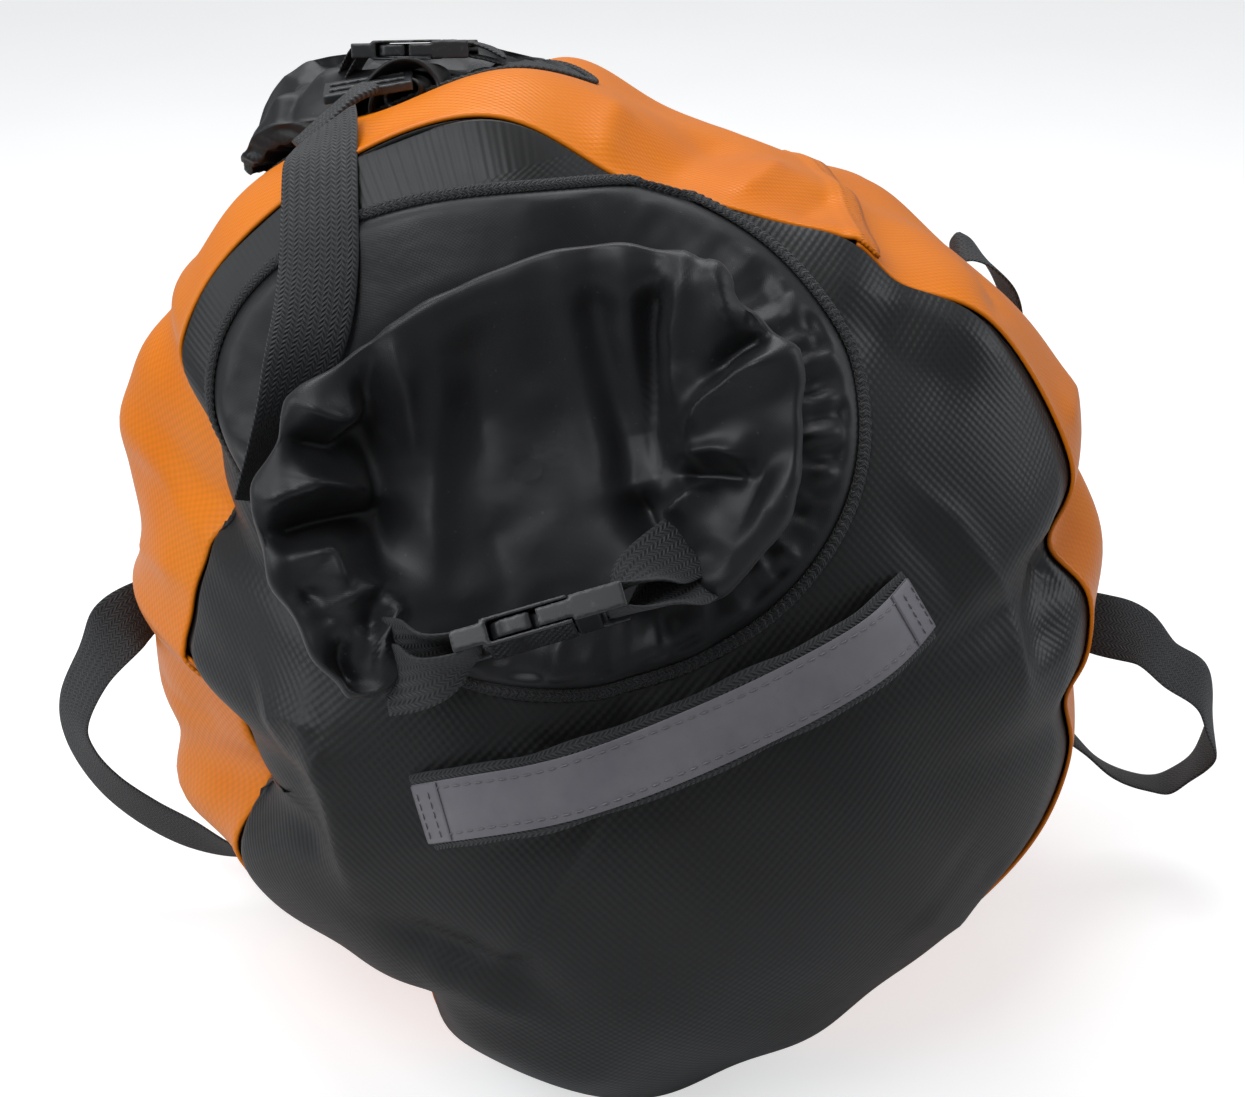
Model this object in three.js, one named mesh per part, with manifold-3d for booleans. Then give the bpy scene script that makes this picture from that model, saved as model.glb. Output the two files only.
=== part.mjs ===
// A waterproof throw bag for a floating rope: a squat drum of PVC tarpaulin lying on its side.
// Millimetres, +Z up, origin on the floor under the middle of the bag, front end panel towards -Y.
import * as THREE from 'three';
import { mergeVertices } from 'three/addons/utils/BufferGeometryUtils.js';
import Module from 'manifold-3d';

const wasm = await Module();
wasm.setup();

// ---------- driving dimensions ----------
const AXIS_HEIGHT = 165; // height of the drum's middle
const FRONT_RADIUS = 166; // rim of the front panel before its folds
const FRONT_RIM_Y = -62; // rim of the front panel at half height
const FRONT_DOME = 92; // how far the filled front panel bulges
const FRONT_TOP_LEAN = 27; // how far the top of the front rim leans back
const FRONT_FOOT_LEAN = 33; // how far its foot reaches forward
const TOE = 13; // how much further the foot is pushed out where it rests
const TOE_AT = 268; // degrees about the drum's axis
const TOE_WIDE = 15;
const BACK_CENTRE_Y = 121;
const BACK_LEAN = 4;
const BACK_CENTRE_Z = 162;
const BACK_RADIUS_X = 150;
const BACK_RADIUS_Z = 154;
const BACK_DOME = 30;
const SHEET = 1.2; // coated fabric
const GAP = 0.5; // clearance between pieces that lie on each other
const LAP = 9; // width of the welded overlap between the two wall sheets
const SEAM_TOP_RIGHT = 60; // where the wall's two sheets meet, in degrees about the drum's axis
const SEAM_LEFT = 184;
const WEBBING = 25;
const WEBBING_THICKNESS = 1.6;
const TAPE = 19.5;
const ROPE = 9;
const COLUMNS = 60; // facets round the drum
// The wall's belly: how far it stands out at half depth, less towards the right, more above and below.
const BELLY = { out: 25.5, towardsRight: -10.5, upright: 3 };
// Slack places in the upper wall, and the pocket that the small collar has pressed into it.
const SLACK = { at: [118, 62], wide: 29, in: 12 };
const POCKET = { at: 116, wide: 24, depth: 0.6, deep: 0.24, in: 17 };

// Folds of the front rim: where, how far out, how wide in degrees and how square-shouldered.
const RIM_FOLDS = [
  { at: 123, out: 20, wide: 29, power: 4 }, // full shoulder under the small collar
  { at: 79, out: -16, wide: 19, power: 4 }, // sagging top edge
  { at: 53, out: -13, wide: 7, power: 2 },
  { at: 12, out: -14, wide: 5, power: 2 },
  { at: 351, out: -6, wide: 4, power: 2 },
  { at: 334, out: 5, wide: 13, power: 2 },
  { at: 275, out: 7, wide: 22, power: 2 }, // where the load spreads on the floor
  { at: 237, out: -27, wide: 6, power: 2 }, // deep crease at the lower left
  { at: 226, out: -9, wide: 6, power: 2 },
  { at: 203, out: -6, wide: 4, power: 2 },
  { at: 196, out: -27, wide: 11, power: 4 },
  { at: 179, out: -10, wide: 6, power: 2 },
  { at: 168, out: -18, wide: 8, power: 2 },
  { at: 157, out: -20, wide: 8, power: 4 },
];
// Sags of the back rim, in the same order.
const BACK_FOLDS = [
  { at: 70, out: -15, wide: 19, power: 4 },
  { at: 99, out: 9, wide: 8, power: 2 },
];
// Where the filled wall swells or sags: angle, depth, how far out, spread in degrees and in depth.
const WALL_SWELLS = [
  { at: 9, depth: 0.25, out: 8, wide: 13, deep: 0.3 },
  { at: 43, depth: 0.6, out: -6, wide: 13, deep: 0.3 },
  { at: 143, depth: 0.35, out: -5, wide: 6, deep: 0.3 },
  { at: 162, depth: 0.45, out: 16, wide: 9, deep: 0.35 },
  { at: 178, depth: 0.4, out: -4, wide: 5, deep: 0.3 },
  { at: 200, depth: 0.25, out: 20, wide: 11, deep: 0.35 },
];

// Large collar: base plane's middle, its three directions, and its outline.
const FRONT_COLLAR = {
  origin: [-28.7, -103.3, 245.8],
  across: [0.961, 0.138, 0.239],
  up: [-0.276, 0.481, 0.832],
  seam: { centreX: -29, centreZ: 256, halfX: 106, halfZ: 66 },
  outline: { left: 88, right: 90, top: 66, bottom: 50, lean: 0.45 },
  gap: { at: 262, wide: 46, rim: 23 }, // where the roll's two ends leave room for the buckle
  rim: 40,
  fall: 0,
  floor: 17,
  lift: 9,
  strip: { wide: 18, deep: 25, from: 218, to: -38 }, // stiff strip rolled into its mouth
};
// Small collar on the wall near the top.
const TOP_COLLAR = {
  origin: [-77, 55, 311],
  across: [0.915, 0, 0.4],
  up: [0, 1, -0.34],
  seam: { halfAcross: 69, halfUp: 42 },
  outline: { left: 62, right: 48, top: 34, bottom: 30, lean: 0.1 },
  gap: { at: 270, wide: 50, rim: 13 },
  rim: 24,
  fall: 0.22, // how much lower the roll gets per millimetre to the right
  floor: 12,
  lift: 7.2,
  strip: { wide: 6, deep: 15.5, from: 218, to: 62 },
};

const BUCKLE = { // side-release buckle for 25 mm webbing
  length: 40, mouth: 11.5, window: 18, width: 31, thickness: 9.5, wall: 1.3,
  baseLength: 18, bar: 5, slot: 4.6, barHalf: 1.6, guide: 5, arm: 2.2, pad: 5.2, clearance: 0.4,
};
const LEFT_FOLDS = { at: 205, wide: 28 }; // degrees round the front rim
const FRONT_BUCKLE_SCALE = 0.86;
const SMALL_BUCKLE_SCALE = 0.72;
const BAR_LOOP_INSET = 3.5; // middle of the webbing's turn, in from the buckle's end
const HANDLE_BOW = 13;
const GROOVE_DEPTH = 60;
const GROOVE_RUN_OUT = 3;
const HANDLE_KEYS = [ // middle of the handle on the front panel: x and z
  [-62, 150], [-45, 157], [-20, 165], [5, 174], [35, 185], [64, 194], [80, 199], [93, 205],
];

// ---------- small helpers ----------
const degrees = Math.PI / 180;
const mix = (a, b, t) => a + (b - a) * t;
const clamp01 = (t) => Math.min(1, Math.max(0, t));
const smooth = (t) => clamp01(t) ** 2 * (3 - 2 * clamp01(t));
const vec = (x, y, z) => new THREE.Vector3(x, y, z);
const bag = new THREE.Group();

const finish = {
  orangePvc: { color: 0xf08418, roughness: 0.38, metalness: 0 },
  blackPvc: { color: 0x24262a, roughness: 0.5, metalness: 0 },
  nylon: { color: 0x141518, roughness: 0.45, metalness: 0 },
  webbing: { color: 0x121315, roughness: 0.85, metalness: 0 },
  reflector: { color: 0x77757c, roughness: 0.35, metalness: 0 },
  plastic: { color: 0x2a2b2d, roughness: 0.35, metalness: 0 },
  rope: { color: 0xe8c33a, roughness: 0.8, metalness: 0 },
  foam: { color: 0xd9d9d4, roughness: 0.9, metalness: 0 },
};

function addPart(name, geometry, look, group = bag) {
  const mesh = new THREE.Mesh(geometry, new THREE.MeshStandardMaterial(finish[look]));
  mesh.name = name;
  group.add(mesh);
  return mesh;
}

function geometryOf(points, triangles) {
  const geometry = new THREE.BufferGeometry();
  const coordinates = points.flatMap((point) => [point.x, point.y, point.z]);
  geometry.setAttribute('position', new THREE.Float32BufferAttribute(coordinates, 3));
  let volume = 0;
  for (let k = 0; k < triangles.length; k += 3) {
    const [a, b, c] = [points[triangles[k]], points[triangles[k + 1]], points[triangles[k + 2]]];
    volume += a.dot(b.clone().cross(c));
  }
  geometry.setIndex(volume > 0 ? triangles : triangles.slice().reverse());
  return geometry;
}

// Skins rows of rings into one closed solid. Each row is an array of points; the last row joins the first.
// With open rings the two edges are closed by flat strips of the same rows.
function skinRows(rows, ringsClosed) {
  const points = rows.flat();
  const wide = rows[0].length;
  const triangles = [];
  const at = (row, column) => (row % rows.length) * wide + (column % wide);
  const steps = ringsClosed ? wide : wide - 1;
  for (let row = 0; row < rows.length; row += 1) {
    for (let column = 0; column < steps; column += 1) {
      const [a, b] = [at(row, column), at(row, column + 1)];
      const [c, d] = [at(row + 1, column), at(row + 1, column + 1)];
      triangles.push(a, b, d, a, d, c);
    }
  }
  if (!ringsClosed) {
    for (const column of [0, wide - 1]) {
      for (let k = 0; k < rows.length / 2 - 1; k += 1) {
        const opposite = rows.length - 1 - k;
        const ring = [at(k, column), at(k + 1, column), at(opposite - 1, column), at(opposite, column)];
        if (column) ring.reverse();
        triangles.push(ring[0], ring[1], ring[2], ring[0], ring[2], ring[3]);
      }
    }
  }
  return geometryOf(points, triangles);
}

// A solid from rows of rings whose first and last rows shrink to one point each.
function capRows(first, rows, last) {
  const wide = rows[0].length;
  const points = [first, ...rows.flat(), last];
  const triangles = [];
  const at = (row, column) => 1 + row * wide + (column % wide);
  for (let column = 0; column < wide; column += 1) {
    triangles.push(0, at(0, column + 1), at(0, column));
    for (let row = 0; row < rows.length - 1; row += 1) {
      const [a, b] = [at(row, column), at(row, column + 1)];
      const [c, d] = [at(row + 1, column), at(row + 1, column + 1)];
      triangles.push(a, b, d, a, d, c);
    }
    triangles.push(points.length - 1, at(rows.length - 1, column), at(rows.length - 1, column + 1));
  }
  return geometryOf(points, triangles);
}

// Webbing: stations give the middle of the strap and the direction across it.
function ribbon(stations, width, thickness) {
  const rows = [[], [], [], []];
  stations.forEach(({ at, across }, k) => {
    const before = stations[Math.max(0, k - 1)].at;
    const after = stations[Math.min(stations.length - 1, k + 1)].at;
    const along = after.clone().sub(before).normalize();
    const side = across.clone().addScaledVector(along, -across.dot(along)).normalize();
    const normal = along.clone().cross(side);
    const corners = [[-1, -1], [1, -1], [1, 1], [-1, 1]];
    corners.forEach(([u, v], corner) => {
      const edge = at.clone().addScaledVector(side, (u * width) / 2);
      rows[corner].push(edge.addScaledVector(normal, (v * thickness) / 2));
    });
  });
  return skinRows(rows, false);
}

function smoothStations(keys, steps) {
  const middle = new THREE.CatmullRomCurve3(keys.map((key) => vec(...key.at)));
  const side = new THREE.CatmullRomCurve3(keys.map((key) => vec(...key.across)));
  return Array.from({ length: steps + 1 }, (_, k) => ({
    at: middle.getPoint(k / steps),
    across: side.getPoint(k / steps),
  }));
}

function toSolid(geometry) {
  const bare = geometry.clone();
  bare.deleteAttribute('normal');
  bare.deleteAttribute('uv');
  const merged = mergeVertices(bare, 1e-4);
  return new wasm.Manifold(new wasm.Mesh({
    numProp: 3,
    vertProperties: new Float32Array(merged.attributes.position.array),
    triVerts: new Uint32Array(merged.index.array),
  }));
}

function fromSolid(solid) {
  const mesh = solid.getMesh();
  const geometry = new THREE.BufferGeometry();
  geometry.setAttribute('position', new THREE.BufferAttribute(new Float32Array(mesh.vertProperties), 3));
  geometry.setIndex(new THREE.BufferAttribute(new Uint32Array(mesh.triVerts), 1));
  return geometry;
}

function block(lowX, highX, lowY, highY, lowZ, highZ) {
  const box = new THREE.BoxGeometry(highX - lowX, highY - lowY, highZ - lowZ);
  return box.translate((lowX + highX) / 2, (lowY + highY) / 2, (lowZ + highZ) / 2);
}

const join = (...pieces) => pieces.map(toSolid).reduce((all, piece) => all.add(piece));
const cut = (solid, ...pieces) => pieces.map(toSolid).reduce((rest, piece) => rest.subtract(piece), solid);

// ---------- the drum's outer skin ----------
// Signed turn from one angle to another, between -180 and 180 degrees.
const turnFrom = (at, angle) => ((((angle - at) % 360) + 540) % 360) - 180;
const hump = (away, wide, power = 2) => Math.exp(-(Math.abs(away / wide) ** power));

function foldSum(folds, angle) {
  const outBy = ({ at, out, wide, power }) => out * hump(turnFrom(at, angle), wide, power);
  return folds.reduce((sum, fold) => sum + outBy(fold), 0);
}

const frontRimRadius = (angle) => FRONT_RADIUS + foldSum(RIM_FOLDS, angle);
const toe = (angle) => TOE * hump(turnFrom(TOE_AT, angle), TOE_WIDE);
const rimLean = (height) => (height > 0 ? FRONT_TOP_LEAN : FRONT_FOOT_LEAN) * height;

function frontRim(angle) {
  const radius = frontRimRadius(angle);
  const lean = Math.sin(angle * degrees);
  const y = FRONT_RIM_Y + rimLean(lean) - toe(angle);
  return vec(radius * Math.cos(angle * degrees), y, AXIS_HEIGHT + radius * lean);
}

function backRim(angle) {
  const [c, s] = [Math.cos(angle * degrees), Math.sin(angle * degrees)];
  const fold = foldSum(BACK_FOLDS, angle);
  const [x, z] = [(BACK_RADIUS_X + fold) * c, BACK_CENTRE_Z + (BACK_RADIUS_Z + fold) * s];
  return vec(x, BACK_CENTRE_Y + BACK_LEAN * s, z);
}

// Depth of the domed front panel at a place on it.
function domeY(x, z) {
  const reach = Math.hypot(x, z - AXIS_HEIGHT);
  const angle = Math.atan2(z - AXIS_HEIGHT, x) / degrees;
  const rim = frontRimRadius(angle);
  const share = clamp01(reach / rim);
  const softened = clamp01(reach / mix(FRONT_RADIUS, rim, share ** 3));
  const height = share * Math.sin(angle * degrees);
  const bulge = (1 - softened ** 2) ** 0.85 * (1 - 0.35 * height);
  return FRONT_RIM_Y + rimLean(height) - toe(angle) * share ** 2 - FRONT_DOME * bulge;
}

// Wall between the two rims: depth runs from 0 at the front rim to 1 at the back rim.
function wallPoint(angle, depth) {
  const point = frontRim(angle).lerp(backRim(angle), depth);
  const [c, s] = [Math.cos(angle * degrees), Math.sin(angle * degrees)];
  const slack = SLACK.at.reduce((sum, at) => sum + SLACK.in * hump(turnFrom(at, angle), SLACK.wide), 0);
  const belly = BELLY.out + BELLY.towardsRight * c + BELLY.upright * Math.cos(2 * angle * degrees) - slack;
  const pocketDeep = hump(depth - POCKET.depth, POCKET.deep);
  const pocketShare = hump(turnFrom(POCKET.at, angle), POCKET.wide) * pocketDeep;
  const ends = Math.max(Math.sin(Math.PI * depth), 0) ** 0.6;
  const swell = WALL_SWELLS.reduce((sum, { at, depth: middle, out: height, wide, deep }) => (
    sum + height * hump(turnFrom(at, angle), wide) * hump(depth - middle, deep)
  ), 0);
  const out = belly * Math.sin(Math.PI * depth) - POCKET.in * pocketShare + swell * ends;
  point.x += out * c;
  point.z = Math.max(0, point.z + out * s);
  return point;
}

function wallNormal(angle, depth) {
  const step = 0.01;
  const near = clamp01(depth - step);
  const far = clamp01(depth + step);
  const along = wallPoint(angle, far).sub(wallPoint(angle, near));
  const round = wallPoint(angle + 1, depth).sub(wallPoint(angle - 1, depth));
  return along.cross(round).normalize();
}

function wallSkin(angle, depth, inset) {
  return wallPoint(angle, depth).addScaledVector(wallNormal(angle, depth), -inset);
}

function domeNormal(x, z) {
  const step = 0.5;
  const slopeX = (domeY(x + step, z) - domeY(x - step, z)) / (2 * step);
  const slopeZ = (domeY(x, z + step) - domeY(x, z - step)) / (2 * step);
  return vec(slopeX, -1, slopeZ).normalize();
}

const onDome = (x, z, proud) => vec(x, domeY(x, z), z).addScaledVector(domeNormal(x, z), proud);

// ---------- wall sheets ----------
const WALL_DEPTHS = [0, 0.06, 0.16, 0.28, 0.4, 0.52, 0.64, 0.76, 0.86, 0.94, 1];
const lapAngle = LAP / FRONT_RADIUS / degrees;
const RAMP = 1.2; // degrees over which the upper sheet steps up on to the lower one

// Facet angles round the drum: even steps, with extra ones where the wall's sheets lap.
const seamAngles = [
  SEAM_TOP_RIGHT - lapAngle, SEAM_TOP_RIGHT, SEAM_TOP_RIGHT + RAMP, SEAM_TOP_RIGHT + 2 * RAMP,
  SEAM_LEFT - 2 * RAMP, SEAM_LEFT - RAMP, SEAM_LEFT, SEAM_LEFT + lapAngle,
];
const evenAngles = Array.from({ length: COLUMNS }, (_, k) => (k * 360) / COLUMNS);
const clearOfSeams = (angle) => seamAngles.every((seam) => Math.abs(angle - seam) > 1);
const drumAngles = [...evenAngles.filter(clearOfSeams), ...seamAngles].sort((a, b) => a - b);

// Columns give an angle and how proud the sheet stands there, where it laps over its neighbour.
function wallSheet(columns) {
  const layer = (inset) => (depth) => (
    columns.map(({ angle, proud }) => wallSkin(angle, depth, inset - proud))
  );
  const inwards = WALL_DEPTHS.slice().reverse();
  return skinRows([...WALL_DEPTHS.map(layer(0)), ...inwards.map(layer(SHEET))], false);
}

// The upper sheet laps over the lower one at both of its ends.
function topSheetColumns() {
  const inside = (angle) => angle >= SEAM_TOP_RIGHT - lapAngle && angle <= SEAM_LEFT + lapAngle;
  const lapped = (angle) => angle <= SEAM_TOP_RIGHT + RAMP || angle >= SEAM_LEFT - RAMP;
  return drumAngles.filter(inside).map((angle) => ({ angle, proud: lapped(angle) ? SHEET + GAP : 0 }));
}

function lowerSheetColumns() {
  const past = drumAngles.filter((angle) => angle <= SEAM_TOP_RIGHT).map((angle) => angle + 360);
  const angles = [...drumAngles.filter((angle) => angle >= SEAM_LEFT), ...past];
  return angles.map((angle) => ({ angle, proud: 0 }));
}

// ---------- end panels ----------
function frontSeamPoint(angle, share) {
  const { centreX, centreZ, halfX, halfZ } = FRONT_COLLAR.seam;
  return [centreX + share * halfX * Math.cos(angle), centreZ + share * halfZ * Math.sin(angle)];
}

// The panel runs from the collar's oval hole to its rim, then on under the wall as a flange.
function frontPanel() {
  const spans = [0, 0.12, 0.28, 0.46, 0.64, 0.8, 0.92];
  const { centreX, centreZ, halfX, halfZ } = FRONT_COLLAR.seam;
  const tucked = SHEET + 3 * GAP;
  const ring = (span, deep) => drumAngles.map((angle) => {
    const rim = frontRim(angle);
    const turn = angle * degrees;
    // Columns aim at the rim, and beside its deep left folds at the circle it would have unfolded.
    const unfolded = hump(turnFrom(LEFT_FOLDS.at, angle), LEFT_FOLDS.wide, 4);
    const aimX = mix(rim.x, FRONT_RADIUS * Math.cos(turn), unfolded);
    const aimZ = mix(rim.z, AXIS_HEIGHT + FRONT_RADIUS * Math.sin(turn), unfolded);
    const towards = Math.atan2((aimZ - centreZ) / halfZ, (aimX - centreX) / halfX);
    const [holeX, holeZ] = frontSeamPoint(towards, 1);
    const [x, z] = [mix(holeX, rim.x, span), Math.max(mix(holeZ, rim.z, span), 3)];
    const inset = tucked * smooth((span - 0.6) / 0.4);
    return onDome(x, z, -inset - deep);
  });
  const flange = (depth, deep) => drumAngles.map((angle) => wallSkin(angle, depth, tucked + deep));
  const outer = [...spans.map((span) => ring(span, 0)), flange(0, 0), flange(0.06, 0)];
  const inner = [...spans.map((span) => ring(span, SHEET)), flange(0, SHEET), flange(0.06, SHEET)];
  return skinRows([...outer, ...inner.reverse()], true);
}

function backPanel() {
  const shares = [0.2, 0.45, 0.68, 0.86, 0.96];
  const tucked = SHEET + GAP;
  const dish = (share, deep) => drumAngles.map((angle) => {
    const rim = wallSkin(angle, 1, tucked + deep);
    const y = rim.y + (BACK_DOME - deep) * (1 - share ** 2.4);
    return vec(rim.x * share, y, Math.max(mix(BACK_CENTRE_Z, rim.z, share), 3 + deep));
  });
  const flange = (depth, deep) => drumAngles.map((angle) => wallSkin(angle, depth, tucked + deep));
  const layer = (deep) => [
    ...shares.map((share) => dish(share, deep)),
    flange(1, deep),
    flange(0.94, deep),
  ];
  const middle = (deep) => vec(0, BACK_CENTRE_Y + BACK_DOME - deep, BACK_CENTRE_Z);
  return capRows(middle(0), [...layer(0), ...layer(SHEET).reverse()], middle(SHEET));
}

// ---------- collars ----------
function collarFrame({ origin, across, up }) {
  const right = vec(...across).normalize();
  const top = vec(...up).addScaledVector(right, -vec(...up).dot(right)).normalize();
  const matrix = new THREE.Matrix4().makeBasis(right, top, right.clone().cross(top));
  return matrix.setPosition(vec(...origin));
}

const frontFrame = collarFrame(FRONT_COLLAR);
const topFrame = collarFrame(TOP_COLLAR);
const RING_STEPS = 36;
const ringAngles = Array.from({ length: RING_STEPS }, (_, k) => (k / RING_STEPS) * 2 * Math.PI);

// Rolled collar: a fat horseshoe of cloth round a shallow dish, as one soft solid.
function hood(collar, frame, base) {
  const { left, right, top, bottom, lean } = collar.outline;
  const edge = (angle, share) => {
    const [c, s] = [Math.cos(angle), Math.sin(angle)];
    const squareness = 0.8;
    const x = Math.sign(c) * Math.abs(c) ** squareness * (c > 0 ? right : left);
    const y = Math.sign(s) * Math.abs(s) ** squareness * (s > 0 ? top : bottom);
    return [share * (x + lean * Math.max(y, 0)), share * y];
  };
  const under = (angle, share) => base(...edge(angle, share));
  const over = (angle, share, height) => {
    const [x, y] = edge(angle, share);
    return vec(x, y, height).applyMatrix4(frame);
  };
  const rimAt = (angle) => {
    const away = turnFrom(collar.gap.at, angle / degrees);
    const [x] = edge(angle, 0.85);
    return mix(collar.rim, collar.gap.rim, hump(away, collar.gap.wide, 4)) - collar.fall * x;
  };
  const dish = (angle, sunk) => mix(rimAt(angle), collar.floor, sunk);
  const rows = [
    ringAngles.map((angle) => under(angle, 0.45)),
    ringAngles.map((angle) => under(angle, 0.9)),
    ringAngles.map((angle) => over(angle, 1, rimAt(angle) * 0.75)),
    ringAngles.map((angle) => over(angle, 0.97, rimAt(angle) * 0.92)),
    ringAngles.map((angle) => over(angle, 0.85, rimAt(angle))),
    ringAngles.map((angle) => over(angle, 0.62, dish(angle, 0.35))),
    ringAngles.map((angle) => over(angle, 0.35, dish(angle, 0.9))),
  ];
  return capRows(base(0, 0), rows, vec(0, 0, collar.floor).applyMatrix4(frame));
}

// A point over the front panel, straight out along the collar's direction until it clears the dome.
function overFrontPanel(x, y) {
  const point = vec(x, y, 0).applyMatrix4(frontFrame);
  const out = vec(0, 0, 1).transformDirection(frontFrame);
  for (let k = 0; k < 12; k += 1) {
    const gap = domeY(point.x, point.z) - point.y - FRONT_COLLAR.lift;
    point.addScaledVector(out, -gap);
  }
  return point;
}

// Cloth ring sewn into the panel's hole, lying just inside it.
function frontSkirt() {
  const ring = (share, proud) => ringAngles.map((angle) => {
    const [x, z] = frontSeamPoint(angle, share);
    return onDome(x, z, proud);
  });
  const outer = [ring(0.985, 0), ring(0.9, 2), ring(0.8, 3)];
  const inner = [ring(0.8, 2), ring(0.9, 1), ring(0.985, -1)];
  return skinRows([...outer, ...inner], true);
}

function frontBinding() {
  const radius = 2;
  const side = (turn) => ringAngles.map((angle) => {
    const share = 1 + (radius * Math.cos(turn)) / FRONT_COLLAR.seam.halfZ;
    const [x, z] = frontSeamPoint(angle, share);
    return onDome(x, z, radius + 2 * GAP + radius * Math.sin(turn));
  });
  return skinRows([0, 1, 2, 3, 4].map((k) => side((k / 5) * 2 * Math.PI)), true);
}

// A point over the wall, slid along the small collar's normal on to the wall and then proud of it.
function onTopWall(x, y, proud) {
  const point = vec(x, y, 0).applyMatrix4(topFrame);
  const out = vec(0, 0, 1).transformDirection(topFrame);
  for (let k = 0; k < 20; k += 1) {
    point.addScaledVector(out, wallHeightAbove(point));
  }
  return point.addScaledVector(out, proud);
}

function topSeamPoint(angle, share, proud) {
  const { halfAcross, halfUp } = TOP_COLLAR.seam;
  return onTopWall(share * halfAcross * Math.cos(angle), share * halfUp * Math.sin(angle), proud);
}

const overTopWall = (x, y) => onTopWall(x, y, TOP_COLLAR.lift);

function wallHeightAbove(point) {
  const angle = Math.atan2(point.z - AXIS_HEIGHT, point.x) / degrees;
  let [near, far] = [0, 1];
  for (let k = 0; k < 24; k += 1) {
    const middle = (near + far) / 2;
    if (wallPoint(angle, middle).y < point.y) near = middle;
    else far = middle;
  }
  const surface = wallPoint(angle, near);
  return Math.hypot(surface.x, surface.z - AXIS_HEIGHT) - Math.hypot(point.x, point.z - AXIS_HEIGHT);
}

function topHoleCutter() {
  const reach = 30;
  const ring = (height) => ringAngles.map((angle) => {
    const { halfAcross, halfUp } = TOP_COLLAR.seam;
    return vec(halfAcross * Math.cos(angle), halfUp * Math.sin(angle), height).applyMatrix4(topFrame);
  });
  const middle = (height) => vec(0, 0, height).applyMatrix4(topFrame);
  return capRows(middle(-2 * reach), [ring(-2 * reach), ring(reach)], middle(reach));
}

function topSkirt() {
  const ring = (share, proud) => ringAngles.map((angle) => topSeamPoint(angle, share, proud));
  const outer = [ring(0.96, 0), ring(0.86, 2), ring(0.72, 3)];
  const inner = [ring(0.72, 2), ring(0.86, 1), ring(0.96, -1)];
  return skinRows([...outer, ...inner], true);
}

function topBinding() {
  const radius = 1.8;
  const side = (turn) => ringAngles.map((angle) => (
    topSeamPoint(angle, 1 + (radius * Math.cos(turn)) / TOP_COLLAR.seam.halfUp,
      radius + 4 * GAP + radius * Math.sin(turn))
  ));
  return skinRows([0, 1, 2, 3, 4].map((k) => side((k / 5) * 2 * Math.PI)), true);
}

// Stiff strip rolled into the mouth: it follows the horseshoe from one end to the other.
function mouthStripStations(collar, frame, share) {
  const { left, right, top, bottom, lean } = collar.outline;
  const { deep, from, to } = collar.strip;
  const steps = 22;
  return Array.from({ length: steps + 1 }, (_, k) => {
    const angle = mix(from, to, k / steps) * degrees;
    const [c, s] = [Math.cos(angle), Math.sin(angle)];
    const y = share * s * (s > 0 ? top : bottom);
    const x = share * c * (c > 0 ? right : left) + lean * Math.max(y, 0);
    return {
      at: vec(x, y, deep).applyMatrix4(frame),
      across: vec(0, 0, 1).transformDirection(frame),
    };
  });
}

// ---------- side-release buckle, its length along X, its flat faces towards Z ----------
// What is cut away to leave a bar across the end of a buckle half; inwards is 1 or -1 along X.
function barRelief(end, inwards) {
  const b = BUCKLE;
  const half = WEBBING / 2 + 0.6;
  const span = (from, to) => [Math.min(from, to), Math.max(from, to)];
  const slot = span(end + inwards * b.bar, end + inwards * (b.bar + b.slot));
  const top = span(end - inwards, end + inwards * (b.bar + 0.1));
  return [
    block(...slot, -half, half, -b.width, b.width),
    block(...top, -half, half, b.barHalf, b.width),
    block(...top, -half, half, -b.width, -b.barHalf),
  ];
}

function buckleFemale(k) {
  const b = BUCKLE;
  const halfWidth = b.width / 2;
  const halfThick = b.thickness / 2;
  const mouthEnd = 6;
  const windowEnd = mouthEnd - b.mouth;
  const windowStart = windowEnd - b.window;
  const back = mouthEnd - b.length;
  const inner = halfThick - b.wall;
  const shell = cut(
    join(
      block(windowStart, mouthEnd, -halfWidth, halfWidth, -halfThick, halfThick),
      block(back, windowStart, -halfWidth, halfWidth, -halfThick + 1.2, halfThick - 1.2),
    ),
    block(windowStart + 2, mouthEnd + 1, -halfWidth + 3, halfWidth - 3, -inner, inner), // cavity
    block(windowStart + 2, mouthEnd + 1, -halfWidth - 1, halfWidth + 1, -inner, inner), // side windows
    ...barRelief(back, 1),
  );
  return fromSolid(shell).scale(k, k, k);
}

function buckleMale(k) {
  const b = BUCKLE;
  const halfWidth = b.width / 2;
  const start = 6 + b.clearance;
  const end = start + b.baseLength;
  const inner = BUCKLE.thickness / 2 - b.wall - b.clearance;
  const cheek = halfWidth - 2.4;
  const body = cut(
    join(
      block(start, end, -halfWidth, halfWidth, -b.thickness / 2 + 0.4, b.thickness / 2 - 0.4),
      block(-20, start + 1, -b.guide / 2, b.guide / 2, -inner, inner),
      block(-5, start + 1, cheek, halfWidth, -inner, inner),
      block(-5, start + 1, -halfWidth, -cheek, -inner, inner),
    ),
    ...barRelief(end, -1),
  );
  return fromSolid(body).scale(k, k, k);
}

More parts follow.
